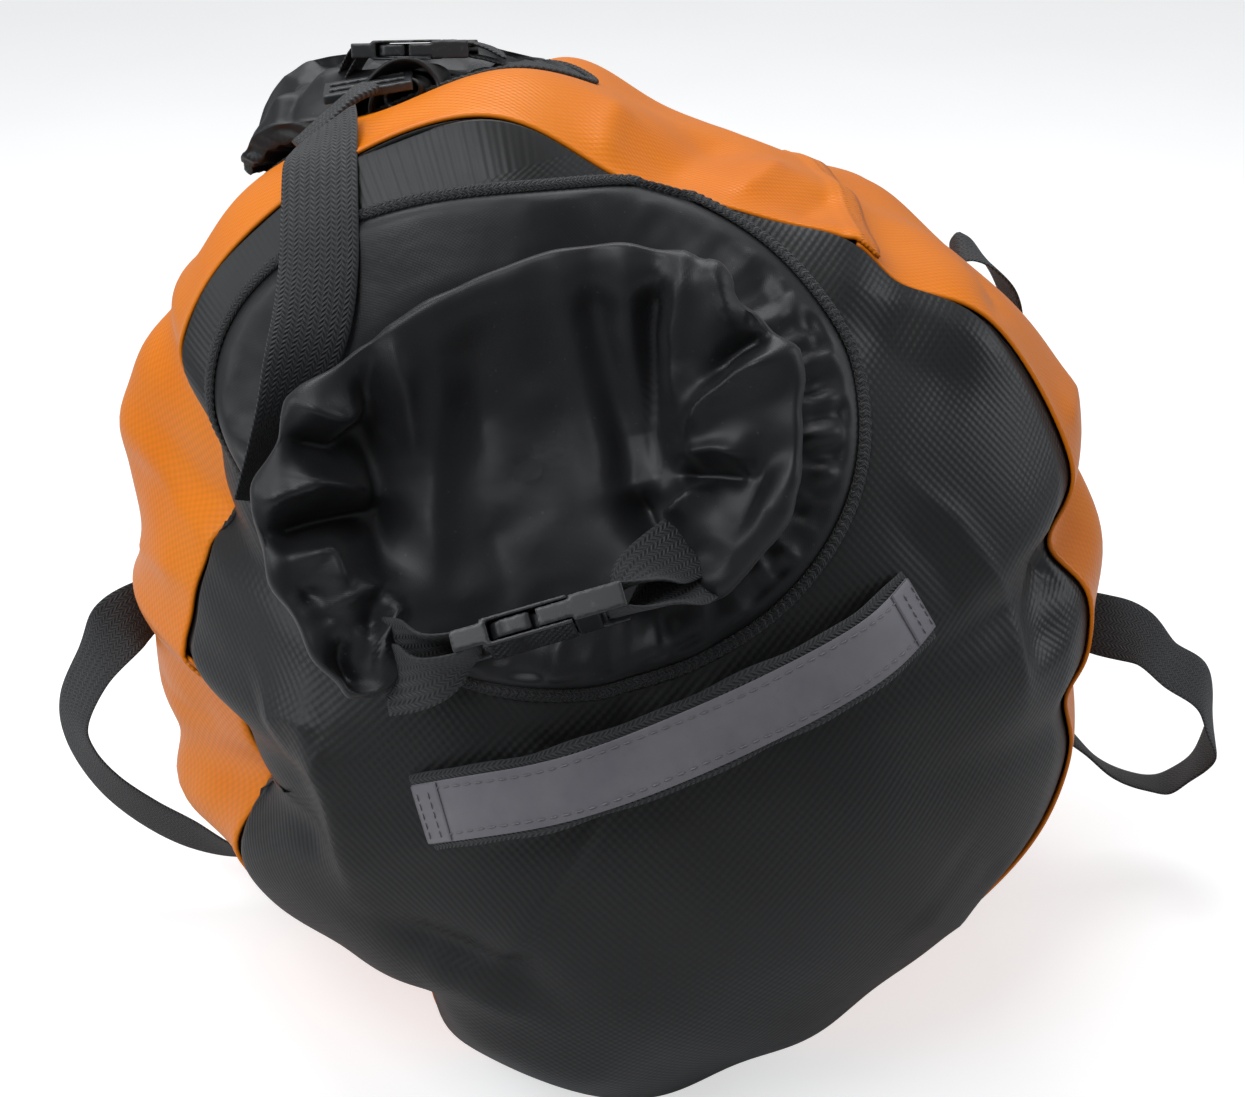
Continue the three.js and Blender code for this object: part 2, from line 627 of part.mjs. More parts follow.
// One sprung arm with its release pad; side is 1 or -1.
function buckleArm(k, side) {
  const b = BUCKLE;
  const inner = b.thickness / 2 - b.wall - b.clearance;
  const halfWidth = b.width / 2;
  const armInner = 8.2;
  const outline = new THREE.Shape();
  outline.moveTo(5.6, armInner);
  outline.lineTo(5.6, armInner + b.arm);
  outline.lineTo(-7, armInner + b.arm + 0.6);
  outline.lineTo(-7, halfWidth - 1.6);
  outline.quadraticCurveTo(-7, halfWidth - 0.3, -9, halfWidth - 0.3);
  outline.lineTo(-15, halfWidth - 0.3);
  outline.quadraticCurveTo(-20, halfWidth - 0.6, -21.2, halfWidth - b.pad);
  outline.lineTo(-20, armInner);
  const depth = 2 * inner - b.clearance;
  const arm = new THREE.ExtrudeGeometry(outline, { depth, bevelEnabled: false, curveSegments: 4 });
  arm.translate(0, 0, -depth / 2);
  if (side < 0) arm.rotateX(Math.PI);
  return arm.scale(k, k, k);
}

// Webbing looped round a buckle's bar and brought back on itself, towards +X.
function tabStations(barX, endX, thickness) {
  const radius = 2 * thickness;
  const across = vec(0, 1, 0);
  const loop = [-90, -120, -150, 180, 150, 120, 90].map((turn) => ({
    at: vec(barX + radius * Math.cos(turn * degrees), 0, radius * Math.sin(turn * degrees)),
    across,
  }));
  const rest = thickness / 2 + 0.2;
  const leg = (side) => [
    { at: vec(mix(barX, endX, 0.4), 0, side * (radius + 0.4)), across },
    { at: vec(endX, 0, side * rest), across },
  ];
  return [...leg(-1).reverse(), ...loop, ...leg(1)];
}

// ---------- loops, strap and handle ----------
// The handle's stations stand off the dome: its ends lie on it and its middle bows out.
function handleStations(proud) {
  const spread = HANDLE_KEYS.length - 1;
  const bow = (k) => HANDLE_BOW * Math.sin((k / spread) * Math.PI) ** 0.8;
  const points = HANDLE_KEYS.map(([x, z], k) => onDome(x, z, proud + bow(k)));
  const middle = new THREE.CatmullRomCurve3(points);
  const steps = 22;
  return Array.from({ length: steps + 1 }, (_, k) => {
    const at = middle.getPoint(k / steps);
    const along = middle.getTangent(k / steps);
    return { at, across: domeNormal(at.x, at.z).cross(along) };
  });
}

// A webbing loop sewn to the wall by its two ends: it leaves the wall, swings out and comes back.
const LEFT_LOOP = [
  { at: [-190, 20, 130], across: [0, 0.1, 1] },
  { at: [-200, 10, 125], across: [-0.35, 0.35, 1] },
  { at: [-212, 6, 109], across: [-0.6, 0.75, 0.3] },
  { at: [-224, 6, 87], across: [-0.55, 0.83, 0] },
  { at: [-223, 5, 70], across: [-0.55, 0.8, -0.1] },
  { at: [-213, 3, 53], across: [-0.45, 0.8, -0.35] },
  { at: [-197, 0, 39], across: [-0.35, 0.8, -0.5] },
  { at: [-178, -7, 31], across: [-0.1, 0.7, -0.7] },
  { at: [-160, -10, 27], across: [0, 0.85, -0.5] },
  { at: [-144, -9, 27], across: [0, 0.95, -0.2] },
  { at: [-131, -8, 28], across: [0, 1, 0] },
];
const RIGHT_LOOP = [
  { at: [176, 22, 124], across: [0, 0, 1] },
  { at: [192, 17, 121.5], across: [0.2, 0.3, 1] },
  { at: [210, 18, 115], across: [0.3, 0.75, 0.6] },
  { at: [223, 16, 103], across: [0.3, 0.85, 0.35] },
  { at: [237, 16, 93], across: [0.35, 0.85, 0.3] },
  { at: [243, 16, 78], across: [0.35, 0.93, 0] },
  { at: [246, 18, 64], across: [0.1, 1, 0] },
  { at: [240, 20, 49], across: [0.2, 0.93, -0.25] },
  { at: [231, 22, 40], across: [0, 0.93, -0.3] },
  { at: [219, 24, 40], across: [-0.05, 0.95, -0.28] },
  { at: [205, 24, 47], across: [-0.1, 0.95, -0.2] },
  { at: [192, 24, 60], across: [-0.1, 1, -0.1] },
  { at: [178, 23, 74], across: [0, 1, 0] },
  { at: [168, 22, 87], across: [0, 1, 0] },
];
const REAR_LOOP = [
  { at: [128.2, 100.5, 261.7], across: [0, 1, 0] },
  { at: [135, 99, 257.5], across: [-0.1, 1, 0.1] },
  { at: [142, 99, 251.5], across: [-0.2, 1, 0.2] },
  { at: [149.5, 98, 246], across: [-0.25, 1, 0.1] },
  { at: [156.5, 97, 238], across: [-0.25, 1, 0] },
  { at: [160.5, 96, 229.5], across: [-0.2, 1, 0] },
  { at: [162, 96, 220], across: [-0.1, 1, 0] },
  { at: [158.5, 97.5, 211], across: [0, 1, 0] },
];
const STRAP_TAIL = [
  { at: [-90, 1.5, 339.4], across: [1, 0.1, 0.15] },
  { at: [-92, -9, 340], across: [1, 0.1, 0.15] },
  { at: [-95, -24, 339], across: [1, 0, 0.15] },
  { at: [-97, -40, 334], across: [1, 0, 0.15] },
  { at: [-97, -53, 320], across: [1, 0, 0.1] },
  { at: [-97, -66, 303], across: [1, 0.15, 0.05] },
  { at: [-99, -79, 286], across: [0.9, 0.42, 0] },
  { at: [-105, -91, 269], across: [0.66, 0.75, 0] },
  { at: [-112, -99, 254], across: [0.4, 0.92, 0] },
  { at: [-119, -106, 237], across: [0.22, 0.98, 0] },
];

// Sliding bar that sets the length of the hanging strap.
function slider() {
  const [half, deep, thick] = [15.5, 10, 1.6];
  const opening = WEBBING / 2 + 0.6;
  return fromSolid(cut(
    toSolid(block(-half, half, -deep, deep, -thick, thick)),
    block(-opening, opening, 1.8, 6.4, -5, 5),
    block(-opening, opening, -6.4, -1.8, -5, 5),
  ));
}

function ropeCoil() {
  const [turns, wide, tall, pitch] = [5, 78, 58, 11.5];
  class Coil extends THREE.Curve {
    getPoint(t, target = vec(0, 0, 0)) {
      const turn = t * turns * 2 * Math.PI;
      return target.set(wide * Math.cos(turn), t * turns * pitch, tall * Math.sin(turn));
    }
  }
  const section = new THREE.Shape();
  section.absarc(0, 0, ROPE / 2, 0, 2 * Math.PI);
  const extrudePath = new Coil();
  return new THREE.ExtrudeGeometry(section, { steps: turns * 13, extrudePath, curveSegments: 4 });
}

function foamFloat() {
  const [radius, half, round] = [60, 12, 4];
  const profile = [[0, -half], [radius - round, -half], [radius, -half + round], [radius, half - round],
    [radius - round, half], [0, half]].map(([x, y]) => new THREE.Vector2(x, y));
  return new THREE.LatheGeometry(profile, 28);
}

// ---------- assembly ----------
const topSheet = toSolid(wallSheet(topSheetColumns())).subtract(toSolid(topHoleCutter()));
addPart('wall_top_sheet', fromSolid(topSheet), 'orangePvc');
addPart('wall_lower_sheet', wallSheet(lowerSheetColumns()), 'orangePvc');
addPart('front_panel', frontPanel(), 'blackPvc');
addPart('back_panel', backPanel(), 'blackPvc');
addPart('front_collar_skirt', frontSkirt(), 'nylon');
addPart('front_seam_binding', frontBinding(), 'webbing');
addPart('top_collar_skirt', topSkirt(), 'nylon');
addPart('top_seam_binding', topBinding(), 'webbing');

// Buckle, its arms and its two webbing tabs, in a group whose X runs along the buckle.
function buckleSet(prefix, scale, leftReach, rightReach) {
  const group = new THREE.Group();
  const thickness = WEBBING_THICKNESS * scale;
  addPart(`${prefix}_buckle_female`, buckleFemale(scale), 'plastic', group);
  addPart(`${prefix}_buckle_male`, buckleMale(scale), 'plastic', group);
  addPart(`${prefix}_latch_a`, buckleArm(scale, 1), 'plastic', group);
  addPart(`${prefix}_latch_b`, buckleArm(scale, -1), 'plastic', group);
  const maleEnd = 6 + BUCKLE.clearance + BUCKLE.baseLength;
  const femaleEnd = BUCKLE.length - 6;
  const tab = (bar, reach) => {
    const stations = tabStations(bar * scale, (bar + reach) * scale, thickness);
    return ribbon(stations, WEBBING * scale, thickness);
  };
  addPart(`${prefix}_male_tab`, tab(maleEnd - BAR_LOOP_INSET, rightReach), 'webbing', group);
  const leftTab = tab(femaleEnd - BAR_LOOP_INSET, leftReach);
  addPart(`${prefix}_female_tab`, leftTab, 'webbing', group).rotation.z = Math.PI;
  return group;
}

function collarParts(prefix, collar, frame, base, buckle, clearances) {
  const strip = mouthStripStations(collar, frame, 0.72);
  // The strip lies in a groove that opens at the crest of the roll and at both of its ends.
  const out = vec(0, 0, 1).transformDirection(frame);
  const rise = GROOVE_DEPTH / 2 - collar.strip.wide / 2 - GAP;
  const groove = strip.map(({ at, across }) => ({ at: at.clone().addScaledVector(out, rise), across }));
  const ends = [0, groove.length - 1].map((end) => {
    const away = groove[end].at.clone().sub(groove[end ? end - 1 : 1].at).normalize();
    return { at: groove[end].at.clone().addScaledVector(away, GROOVE_RUN_OUT), across: out };
  });
  const slot = ribbon([ends[0], ...groove, ends[1]], GROOVE_DEPTH, WEBBING_THICKNESS + 2 * GAP);
  buckle.updateMatrix();
  const holes = clearances.map(({ box, tilted }) => {
    const hole = block(...box);
    if (tilted) hole.applyMatrix4(buckle.matrix);
    return hole.applyMatrix4(frame);
  });
  const soft = toSolid(hood(collar, frame, base));
  addPart(`${prefix}_collar_hood`, fromSolid(cut(soft, slot, ...holes)), 'nylon');
  addPart(`${prefix}_mouth_strip`, ribbon(strip, collar.strip.wide, WEBBING_THICKNESS), 'webbing');
  const holder = new THREE.Group();
  holder.applyMatrix4(frame);
  holder.add(buckle);
  bag.add(holder);
}

const frontBuckle = buckleSet('front', FRONT_BUCKLE_SCALE, 30, 38);
frontBuckle.position.set(-3.2, -46, 47);
frontBuckle.rotation.x = 80 * degrees;
collarParts('front', FRONT_COLLAR, frontFrame, overFrontPanel, frontBuckle, [
  { box: [20, 96, -55, -37, 27, 70] },
  { box: [-84, -34, -55, -37, 27, 70] },
]);

const topBuckle = buckleSet('top', SMALL_BUCKLE_SCALE, 19, 14);
topBuckle.position.set(19, -19, 23.2);
topBuckle.rotation.set(4 * degrees, 22 * degrees, 0);
collarParts('top', TOP_COLLAR, topFrame, overTopWall, topBuckle, [
  { box: [-48, 70, -15, 15, -6.5, 60], tilted: true },
]);

const strapSlider = addPart('strap_slider', slider(), 'plastic');
strapSlider.position.set(-88, 16.5, 337.5);
strapSlider.rotation.set(0, -0.15, 0.1);
addPart('strap_tail', ribbon(smoothStations(STRAP_TAIL, 18), WEBBING, WEBBING_THICKNESS), 'webbing');
const handle = handleStations(GAP + WEBBING_THICKNESS / 2);
addPart('front_handle', ribbon(handle, WEBBING, WEBBING_THICKNESS), 'webbing');
addPart('handle_reflector', ribbon(handleStations(4 * GAP + WEBBING_THICKNESS), TAPE, 0.4), 'reflector');
addPart('left_loop', ribbon(smoothStations(LEFT_LOOP, 26), WEBBING, WEBBING_THICKNESS), 'webbing');
addPart('right_loop', ribbon(smoothStations(RIGHT_LOOP, 30), WEBBING, WEBBING_THICKNESS), 'webbing');
addPart('rear_loop', ribbon(smoothStations(REAR_LOOP, 16), WEBBING, WEBBING_THICKNESS), 'webbing');

addPart('rope_coil', ropeCoil(), 'rope').position.set(0, 10, 80);
const float = addPart('foam_float', foamFloat(), 'foam');
float.position.set(10, 40, 215);

export default bag;
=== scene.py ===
"""Throw rope bag: soft PVC drum with rolled nylon collars, webbing and buckles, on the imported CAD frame."""

import math

import bmesh
import bpy
import numpy as np
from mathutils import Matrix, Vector


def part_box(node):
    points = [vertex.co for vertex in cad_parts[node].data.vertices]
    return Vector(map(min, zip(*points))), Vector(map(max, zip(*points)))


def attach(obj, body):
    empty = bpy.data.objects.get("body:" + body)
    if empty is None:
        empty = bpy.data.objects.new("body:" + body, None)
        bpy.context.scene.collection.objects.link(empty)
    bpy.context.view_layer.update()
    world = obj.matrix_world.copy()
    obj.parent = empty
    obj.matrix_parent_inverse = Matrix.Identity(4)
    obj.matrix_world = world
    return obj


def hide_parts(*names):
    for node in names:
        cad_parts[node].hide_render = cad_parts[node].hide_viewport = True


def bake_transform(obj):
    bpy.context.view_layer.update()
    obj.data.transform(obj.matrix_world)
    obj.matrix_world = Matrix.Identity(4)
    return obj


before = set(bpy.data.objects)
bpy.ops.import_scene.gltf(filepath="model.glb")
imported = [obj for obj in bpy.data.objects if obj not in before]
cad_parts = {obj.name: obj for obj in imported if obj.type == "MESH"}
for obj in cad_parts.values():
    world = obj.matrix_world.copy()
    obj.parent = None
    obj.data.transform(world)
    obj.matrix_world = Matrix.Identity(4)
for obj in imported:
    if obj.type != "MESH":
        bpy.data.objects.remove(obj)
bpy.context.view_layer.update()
PI = math.pi

# ---------- sizes, worked out from the frame ----------
BACK_LOW, BACK_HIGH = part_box("back_panel")
MM = (BACK_HIGH.x - BACK_LOW.x) / 308.86  # one millimetre of the drum in metres
AXIS_HEIGHT = 165.0
FRONT_RADIUS = 166.0
FRONT_RIM_Y = -62.0
FRONT_DOME = 92.0
TOP_LEAN = 27.0  # how far the rim leans back above and below the axis
FOOT_LEAN = 33.0
TOE = 13.0  # how far the panel's foot is pushed forward where it rests
BACK_CENTRE_Y = 121.0
BACK_CENTRE_Z = 162.0
BACK_RADIUS_X = 150.0
BACK_RADIUS_Z = 154.0
BACK_DOME = 30.0
SHEET = 1.2
LAP = 9.0
SEAM_TOP_RIGHT = 60.0
SEAM_LEFT = 184.0
WEBBING = 25.0
WEBBING_THICKNESS = 1.6
FOOT_GAP = 3  # the end panels stay this far above the floor

# Folds of the front rim: angle, how far out, how wide in degrees, how square-shouldered.
RIM_FOLDS = [
    (123, 20, 29, 4), (79, -16, 19, 4), (53, -13, 7, 2), (12, -14, 5, 2), (351, -6, 4, 2), (334, 5, 13, 2),
    (275, 7, 22, 2), (237, -27, 6, 2), (226, -9, 6, 2), (203, -6, 4, 2), (196, -27, 11, 4),
    (179, -10, 6, 2), (168, -18, 8, 2), (157, -20, 8, 4),
]
# Sags of the back rim, in the same order.
BACK_FOLDS = [
    (70, -15, 19, 4), (99, 9, 8, 2),
]
# Where the filled wall swells or sags: angle, depth, how far out, spread in degrees and in depth.
WALL_SWELLS = [
    (9, 0.25, 8, 13, 0.3), (43, 0.6, -6, 13, 0.3), (143, 0.35, -5, 6, 0.3), (162, 0.45, 16, 9, 0.35),
    (178, 0.4, -4, 5, 0.3), (200, 0.25, 20, 11, 0.35),
]


# ---------- the drum's skin as formulas, in millimetres ----------
def hump(away, wide, power=2):
    return np.exp(-np.abs(away / wide) ** power)


def turn_from(at, angle):
    return (angle - at + 540) % 360 - 180


def smooth(t):
    t = np.clip(t, 0, 1)
    return t * t * (3 - 2 * t)


def fold_sum(folds, angle):
    return sum(out * hump(turn_from(at, angle), wide, power) for at, out, wide, power in folds)


def rim_radius(angle):
    return FRONT_RADIUS + fold_sum(RIM_FOLDS, np.asarray(angle, float))


def cos_sin(angle):
    return np.cos(np.radians(angle)), np.sin(np.radians(angle))


def rim_tilt(height):
    return np.where(height > 0, TOP_LEAN, FOOT_LEAN) * height


def front_rim(angle):
    c, s = cos_sin(angle)
    radius = rim_radius(angle)
    y = FRONT_RIM_Y + rim_tilt(s) - TOE * hump(turn_from(268, angle), 15)
    return np.stack([radius * c, y, AXIS_HEIGHT + radius * s], -1)


def back_rim(angle):
    c, s = cos_sin(angle)
    fold = fold_sum(BACK_FOLDS, angle)
    x = (BACK_RADIUS_X + fold) * c
    return np.stack([x, BACK_CENTRE_Y + 4 * s, BACK_CENTRE_Z + (BACK_RADIUS_Z + fold) * s], -1)


def dome_y(x, z):
    reach = np.hypot(x, z - AXIS_HEIGHT)
    angle = np.degrees(np.arctan2(z - AXIS_HEIGHT, x))
    rim = rim_radius(angle)
    share = np.clip(reach / rim, 0, 1)
    softened = np.clip(reach / (FRONT_RADIUS + (rim - FRONT_RADIUS) * share**3), 0, 1)
    height = share * np.sin(np.radians(angle))
    bulge = (1 - softened**2) ** 0.85 * (1 - 0.35 * height)
    toe = TOE * share**2 * hump(turn_from(268, angle), 15)
    return FRONT_RIM_Y + rim_tilt(height) - toe - FRONT_DOME * bulge


def unit(v):
    return v / np.maximum(np.linalg.norm(v, axis=-1, keepdims=True), 1e-9)


def dome_normal(x, z):
    step = 0.5
    slope_x = (dome_y(x + step, z) - dome_y(x - step, z)) / (2 * step)
    slope_z = (dome_y(x, z + step) - dome_y(x, z - step)) / (2 * step)
    return unit(np.stack([slope_x, -np.ones_like(slope_x), slope_z], -1))


def on_dome(x, z, proud=0.0):
    x, z = np.asarray(x, float), np.asarray(z, float)
    proud = np.broadcast_to(np.asarray(proud, float), x.shape)
    return np.stack([x, dome_y(x, z), z], -1) + dome_normal(x, z) * proud[..., None]


def wall_point(angle, depth):
    angle, depth = np.broadcast_arrays(np.asarray(angle, float), np.asarray(depth, float))
    c, s = cos_sin(angle)
    point = front_rim(angle) * (1 - depth)[..., None] + back_rim(angle) * depth[..., None]
    slack = 12 * (hump(turn_from(118, angle), 29) + hump(turn_from(62, angle), 29))
    belly = 25.5 - 10.5 * c + 3 * np.cos(2 * np.radians(angle)) - slack
    pocket = 17 * hump(turn_from(116, angle), 24) * hump(depth - 0.6, 0.24)
    out = belly * np.sin(PI * depth) - pocket
    ends = np.maximum(np.sin(PI * depth), 0) ** 0.6
    for at, where, height, wide, deep in WALL_SWELLS:
        out = out + height * hump(turn_from(at, angle), wide) * hump(depth - where, deep) * ends
    point[..., 0] += out * c
    point[..., 2] = np.maximum(0, point[..., 2] + out * s)
    return point


def wall_normal(angle, depth):
    step = 0.01
    along = wall_point(angle, np.clip(depth + step, 0, 1)) - wall_point(angle, np.clip(depth - step, 0, 1))
    around = wall_point(angle + 1, depth) - wall_point(angle - 1, depth)
    return unit(np.cross(along, around))


def wall_skin(angle, depth, out=0.0):
    angle, depth = np.broadcast_arrays(np.asarray(angle, float), np.asarray(depth, float))
    out = np.broadcast_to(np.asarray(out, float), angle.shape)
    return wall_point(angle, depth) + wall_normal(angle, depth) * out[..., None]


# ---------- creases ----------
def near_line(x, y, line):
    """Distance to a polyline and the share of its length at the nearest point."""
    line = np.asarray(line, float)
    spans = np.linalg.norm(np.diff(line, axis=0), axis=1)
    total, run = spans.sum(), 0.0
    best = np.full(x.shape, 1e9)
    share = np.zeros(x.shape)
    for start, end, span in zip(line[:-1], line[1:], spans):
        d = (end - start) / span
        t = np.clip((x - start[0]) * d[0] + (y - start[1]) * d[1], 0, span)
        away = np.hypot(x - start[0] - t * d[0], y - start[1] - t * d[1])
        closer = away < best
        best = np.where(closer, away, best)
        share = np.where(closer, (run + t) / total, share)
        run += span
    return best, share


def creases(x, y, lines):
    """Sum of folds: (height, width, sharpness, line). Sharpness 2 is a soft roll and 1 a crisp edge."""
    total = np.zeros(np.broadcast(x, y).shape)
    for height, width, sharpness, line in lines:
        away, share = near_line(x, y, line)
        taper = smooth(share / 0.3) * smooth((1 - share) / 0.3)
        total += height * (0.25 + 0.75 * taper) * np.exp(-((away / width) ** sharpness))
    return total


def ripple(x, y, seed, waves=9, shortest=14.0, longest=60.0):
    """Gentle random undulation from a few sine waves, between about -1 and 1."""
    rng = np.random.default_rng(seed)
    total = np.zeros(np.broadcast(x, y).shape)
    for _ in range(waves):
        length = rng.uniform(shortest, longest)
        turn, phase = rng.uniform(0, 2 * PI, 2)
        total += np.sin((x * np.cos(turn) + y * np.sin(turn)) * 2 * PI / length + phase)
    return total / math.sqrt(waves)


# ---------- mesh building ----------
def link(obj):
    bpy.context.scene.collection.objects.link(obj)
    return obj


def mesh_object(name, points, faces, material, uv=None):
    """Points in millimetres of the row frame."""
    mesh = bpy.data.meshes.new(name)
    mesh.from_pydata((np.asarray(points) * MM).tolist(), [], [tuple(int(i) for i in f) for f in faces])
    mesh.polygons.foreach_set("use_smooth", np.ones(len(mesh.polygons), bool))
    if uv is not None:
        layer = mesh.uv_layers.new(name="cloth")
        layer.data.foreach_set("uv", np.asarray(uv, np.float32).ravel())
    mesh.materials.append(material)
    mesh.update()
    return link(bpy.data.objects.new(name, mesh))


def grid_cells(rows, columns, wrap):
    steps = columns if wrap else columns - 1
    r, c = np.meshgrid(np.arange(rows - 1), np.arange(steps), indexing="ij")
    return r.ravel(), c.ravel()


def grid_faces(rows, columns, wrap):
    r, c = grid_cells(rows, columns, wrap)
    after = (c + 1) % columns
    here, below = r * columns, (r + 1) * columns
    return np.stack([here + c, here + after, below + after, below + c], -1)


def grid_uv(uv, rows, columns, wrap):
    """Loop UVs for grid_faces. With wrap the uv grid has one more column than the points."""
    r, c = grid_cells(rows, columns, wrap)
    return np.stack([uv[r, c], uv[r, c + 1], uv[r + 1, c + 1], uv[r + 1, c]], 1).reshape(-1, 2)


def sheet(name, points, material, uv, wrap=False, thickness=SHEET, flip=False):
    """A cloth sheet from a grid of points, given thickness inwards from its face."""
    rows, columns = points.shape[:2]
    faces, loops = grid_faces(rows, columns, wrap), grid_uv(uv, rows, columns, wrap)
    if flip:
        faces, loops = faces[:, ::-1], loops.reshape(-1, 4, 2)[:, ::-1].reshape(-1, 2)
    obj = mesh_object(name, points.reshape(-1, 3), faces, material, loops)
    solid = obj.modifiers.new("thickness", "SOLIDIFY")
    solid.thickness = thickness * MM
    solid.offset = -1
    solid.use_even_offset = False
    return obj


def run_lengths(points):
    """Distance run along a polyline, starting at 0."""
    return np.concatenate([[0], np.cumsum(np.linalg.norm(np.diff(points, axis=0), axis=1))])


def along_line(places, run, values):
    """A line's values at some distances along it."""
    return np.stack([np.interp(places, run, values[:, j]) for j in range(values.shape[1])], -1)


def eased(rows, repeats, closed=False):
    """Averages each row with its neighbours again and again; the ends of an open line stay."""
    rows = np.array(rows, float)
    for _ in range(repeats):
        mean = (np.roll(rows, 1, 0) + 2 * rows + np.roll(rows, -1, 0)) / 4
        if not closed:
            mean[0], mean[-1] = rows[0], rows[-1]
        rows = mean
    return rows


def cubic(k, i, t):
    """Catmull-Rom curve from row i + 1 of k to the next."""
    a, b, c, d = k[i], k[i + 1], k[i + 2], k[i + 3]
    return 0.5 * (2 * b + (c - a) * t + (2 * a - 5 * b + 4 * c - d) * t**2 + (3 * b - a - 3 * c + d) * t**3)


def catmull(keys, count):
    """Smooth curve through keys, sampled evenly along its length."""
    keys = np.asarray(keys, float)
    before, after = 2 * keys[0] - keys[1], 2 * keys[-1] - keys[-2]
    k = np.vstack([before, keys, after])
    t = np.linspace(0, len(keys) - 1, max(count * 4, 200))
    i = np.minimum(t.astype(int), len(keys) - 2)
    dense = cubic(k, i, (t - i)[:, None])
    run = run_lengths(dense[:, :3])
    return along_line(np.linspace(0, run[-1], count), run, dense)


def ribbon(name, middle, across, material, width=WEBBING, thickness=WEBBING_THICKNESS):
    """Webbing as a closed solid with rounded edges and a raised weave, following a line of points."""
    middle, across = np.asarray(middle, float), np.asarray(across, float)
    along = unit(np.gradient(middle, axis=0))
    side = unit(across - along * (across * along).sum(-1, keepdims=True))
    normal = np.cross(along, side)
    run = run_lengths(middle)
    turn = np.linspace(0, 2 * PI, 41)[:-1]
    flat = 0.32
    u = np.sign(np.cos(turn)) * np.abs(np.cos(turn)) ** flat * width / 2
    v = np.sign(np.sin(turn)) * np.abs(np.sin(turn)) ** 0.8 * thickness / 2
    points = middle[:, None] + side[:, None] * u[None, :, None] + normal[:, None] * v[None, :, None]
    girth = np.append(u + width, u[0] + width)
    uv = np.stack(np.broadcast_arrays(girth[None, :], run[:, None]), -1)
    rows, columns = points.shape[:2]
    faces = [tuple(f) for f in grid_faces(rows, columns, True)]
    loops = list(grid_uv(uv, rows, columns, True))
    for row, order in ((0, 1), (rows - 1, -1)):
        ring = list(range(row * columns, (row + 1) * columns))[::order]
        faces.append(tuple(ring[::-1]))
        loops += [uv[row, k % columns] for k in range(columns)]
    return mesh_object(name, points.reshape(-1, 3), faces, material, np.array(loops))


def thread(paths, radius, name, material):
    """Stitches: many short round threads as one mesh."""
    points, faces, sides = [], [], 6
    for path in paths:
        path = np.asarray(path, float)
        along = unit(np.gradient(path, axis=0))
        helper = np.where(np.abs(along[:, 2:3]) > 0.9, [[1.0, 0, 0]], [[0, 0, 1.0]])
        first = unit(np.cross(along, helper))
        second = np.cross(along, first)
        n = len(path)
        swell = radius * np.sqrt(np.maximum(1 - np.linspace(-1, 1, n) ** 4, 0.05))
        turn = np.linspace(0, 2 * PI, sides + 1)[:-1]
        rings = path[:, None] + (
            first[:, None] * np.cos(turn)[None, :, None] + second[:, None] * np.sin(turn)[None, :, None]
        ) * swell[:, None, None]
        start = sum(len(p) for p in points)
        points.append(rings.reshape(-1, 3))
        faces += [tuple(f + start) for f in grid_faces(n, sides, True)]
        faces.append(tuple(range(start + sides - 1, start - 1, -1)))
        faces.append(tuple(range(start + (n - 1) * sides, start + n * sides)))
    return mesh_object(name, np.vstack(points), faces, material)


def stitches(line, normals, length, gap, lift):
    """Splits a line into stitches that dip into the cloth at both ends."""
    run = run_lengths(line)
    paths = []
    at = gap / 2
    while at + length < run[-1]:
        t = np.linspace(at, at + length, 5)
        rise = lift * np.sin(np.linspace(0.15, PI - 0.15, 5)) - lift * 0.25
        paths.append(along_line(t, run, line) + along_line(t, run, normals) * rise[:, None])
        at += length + gap
    return paths


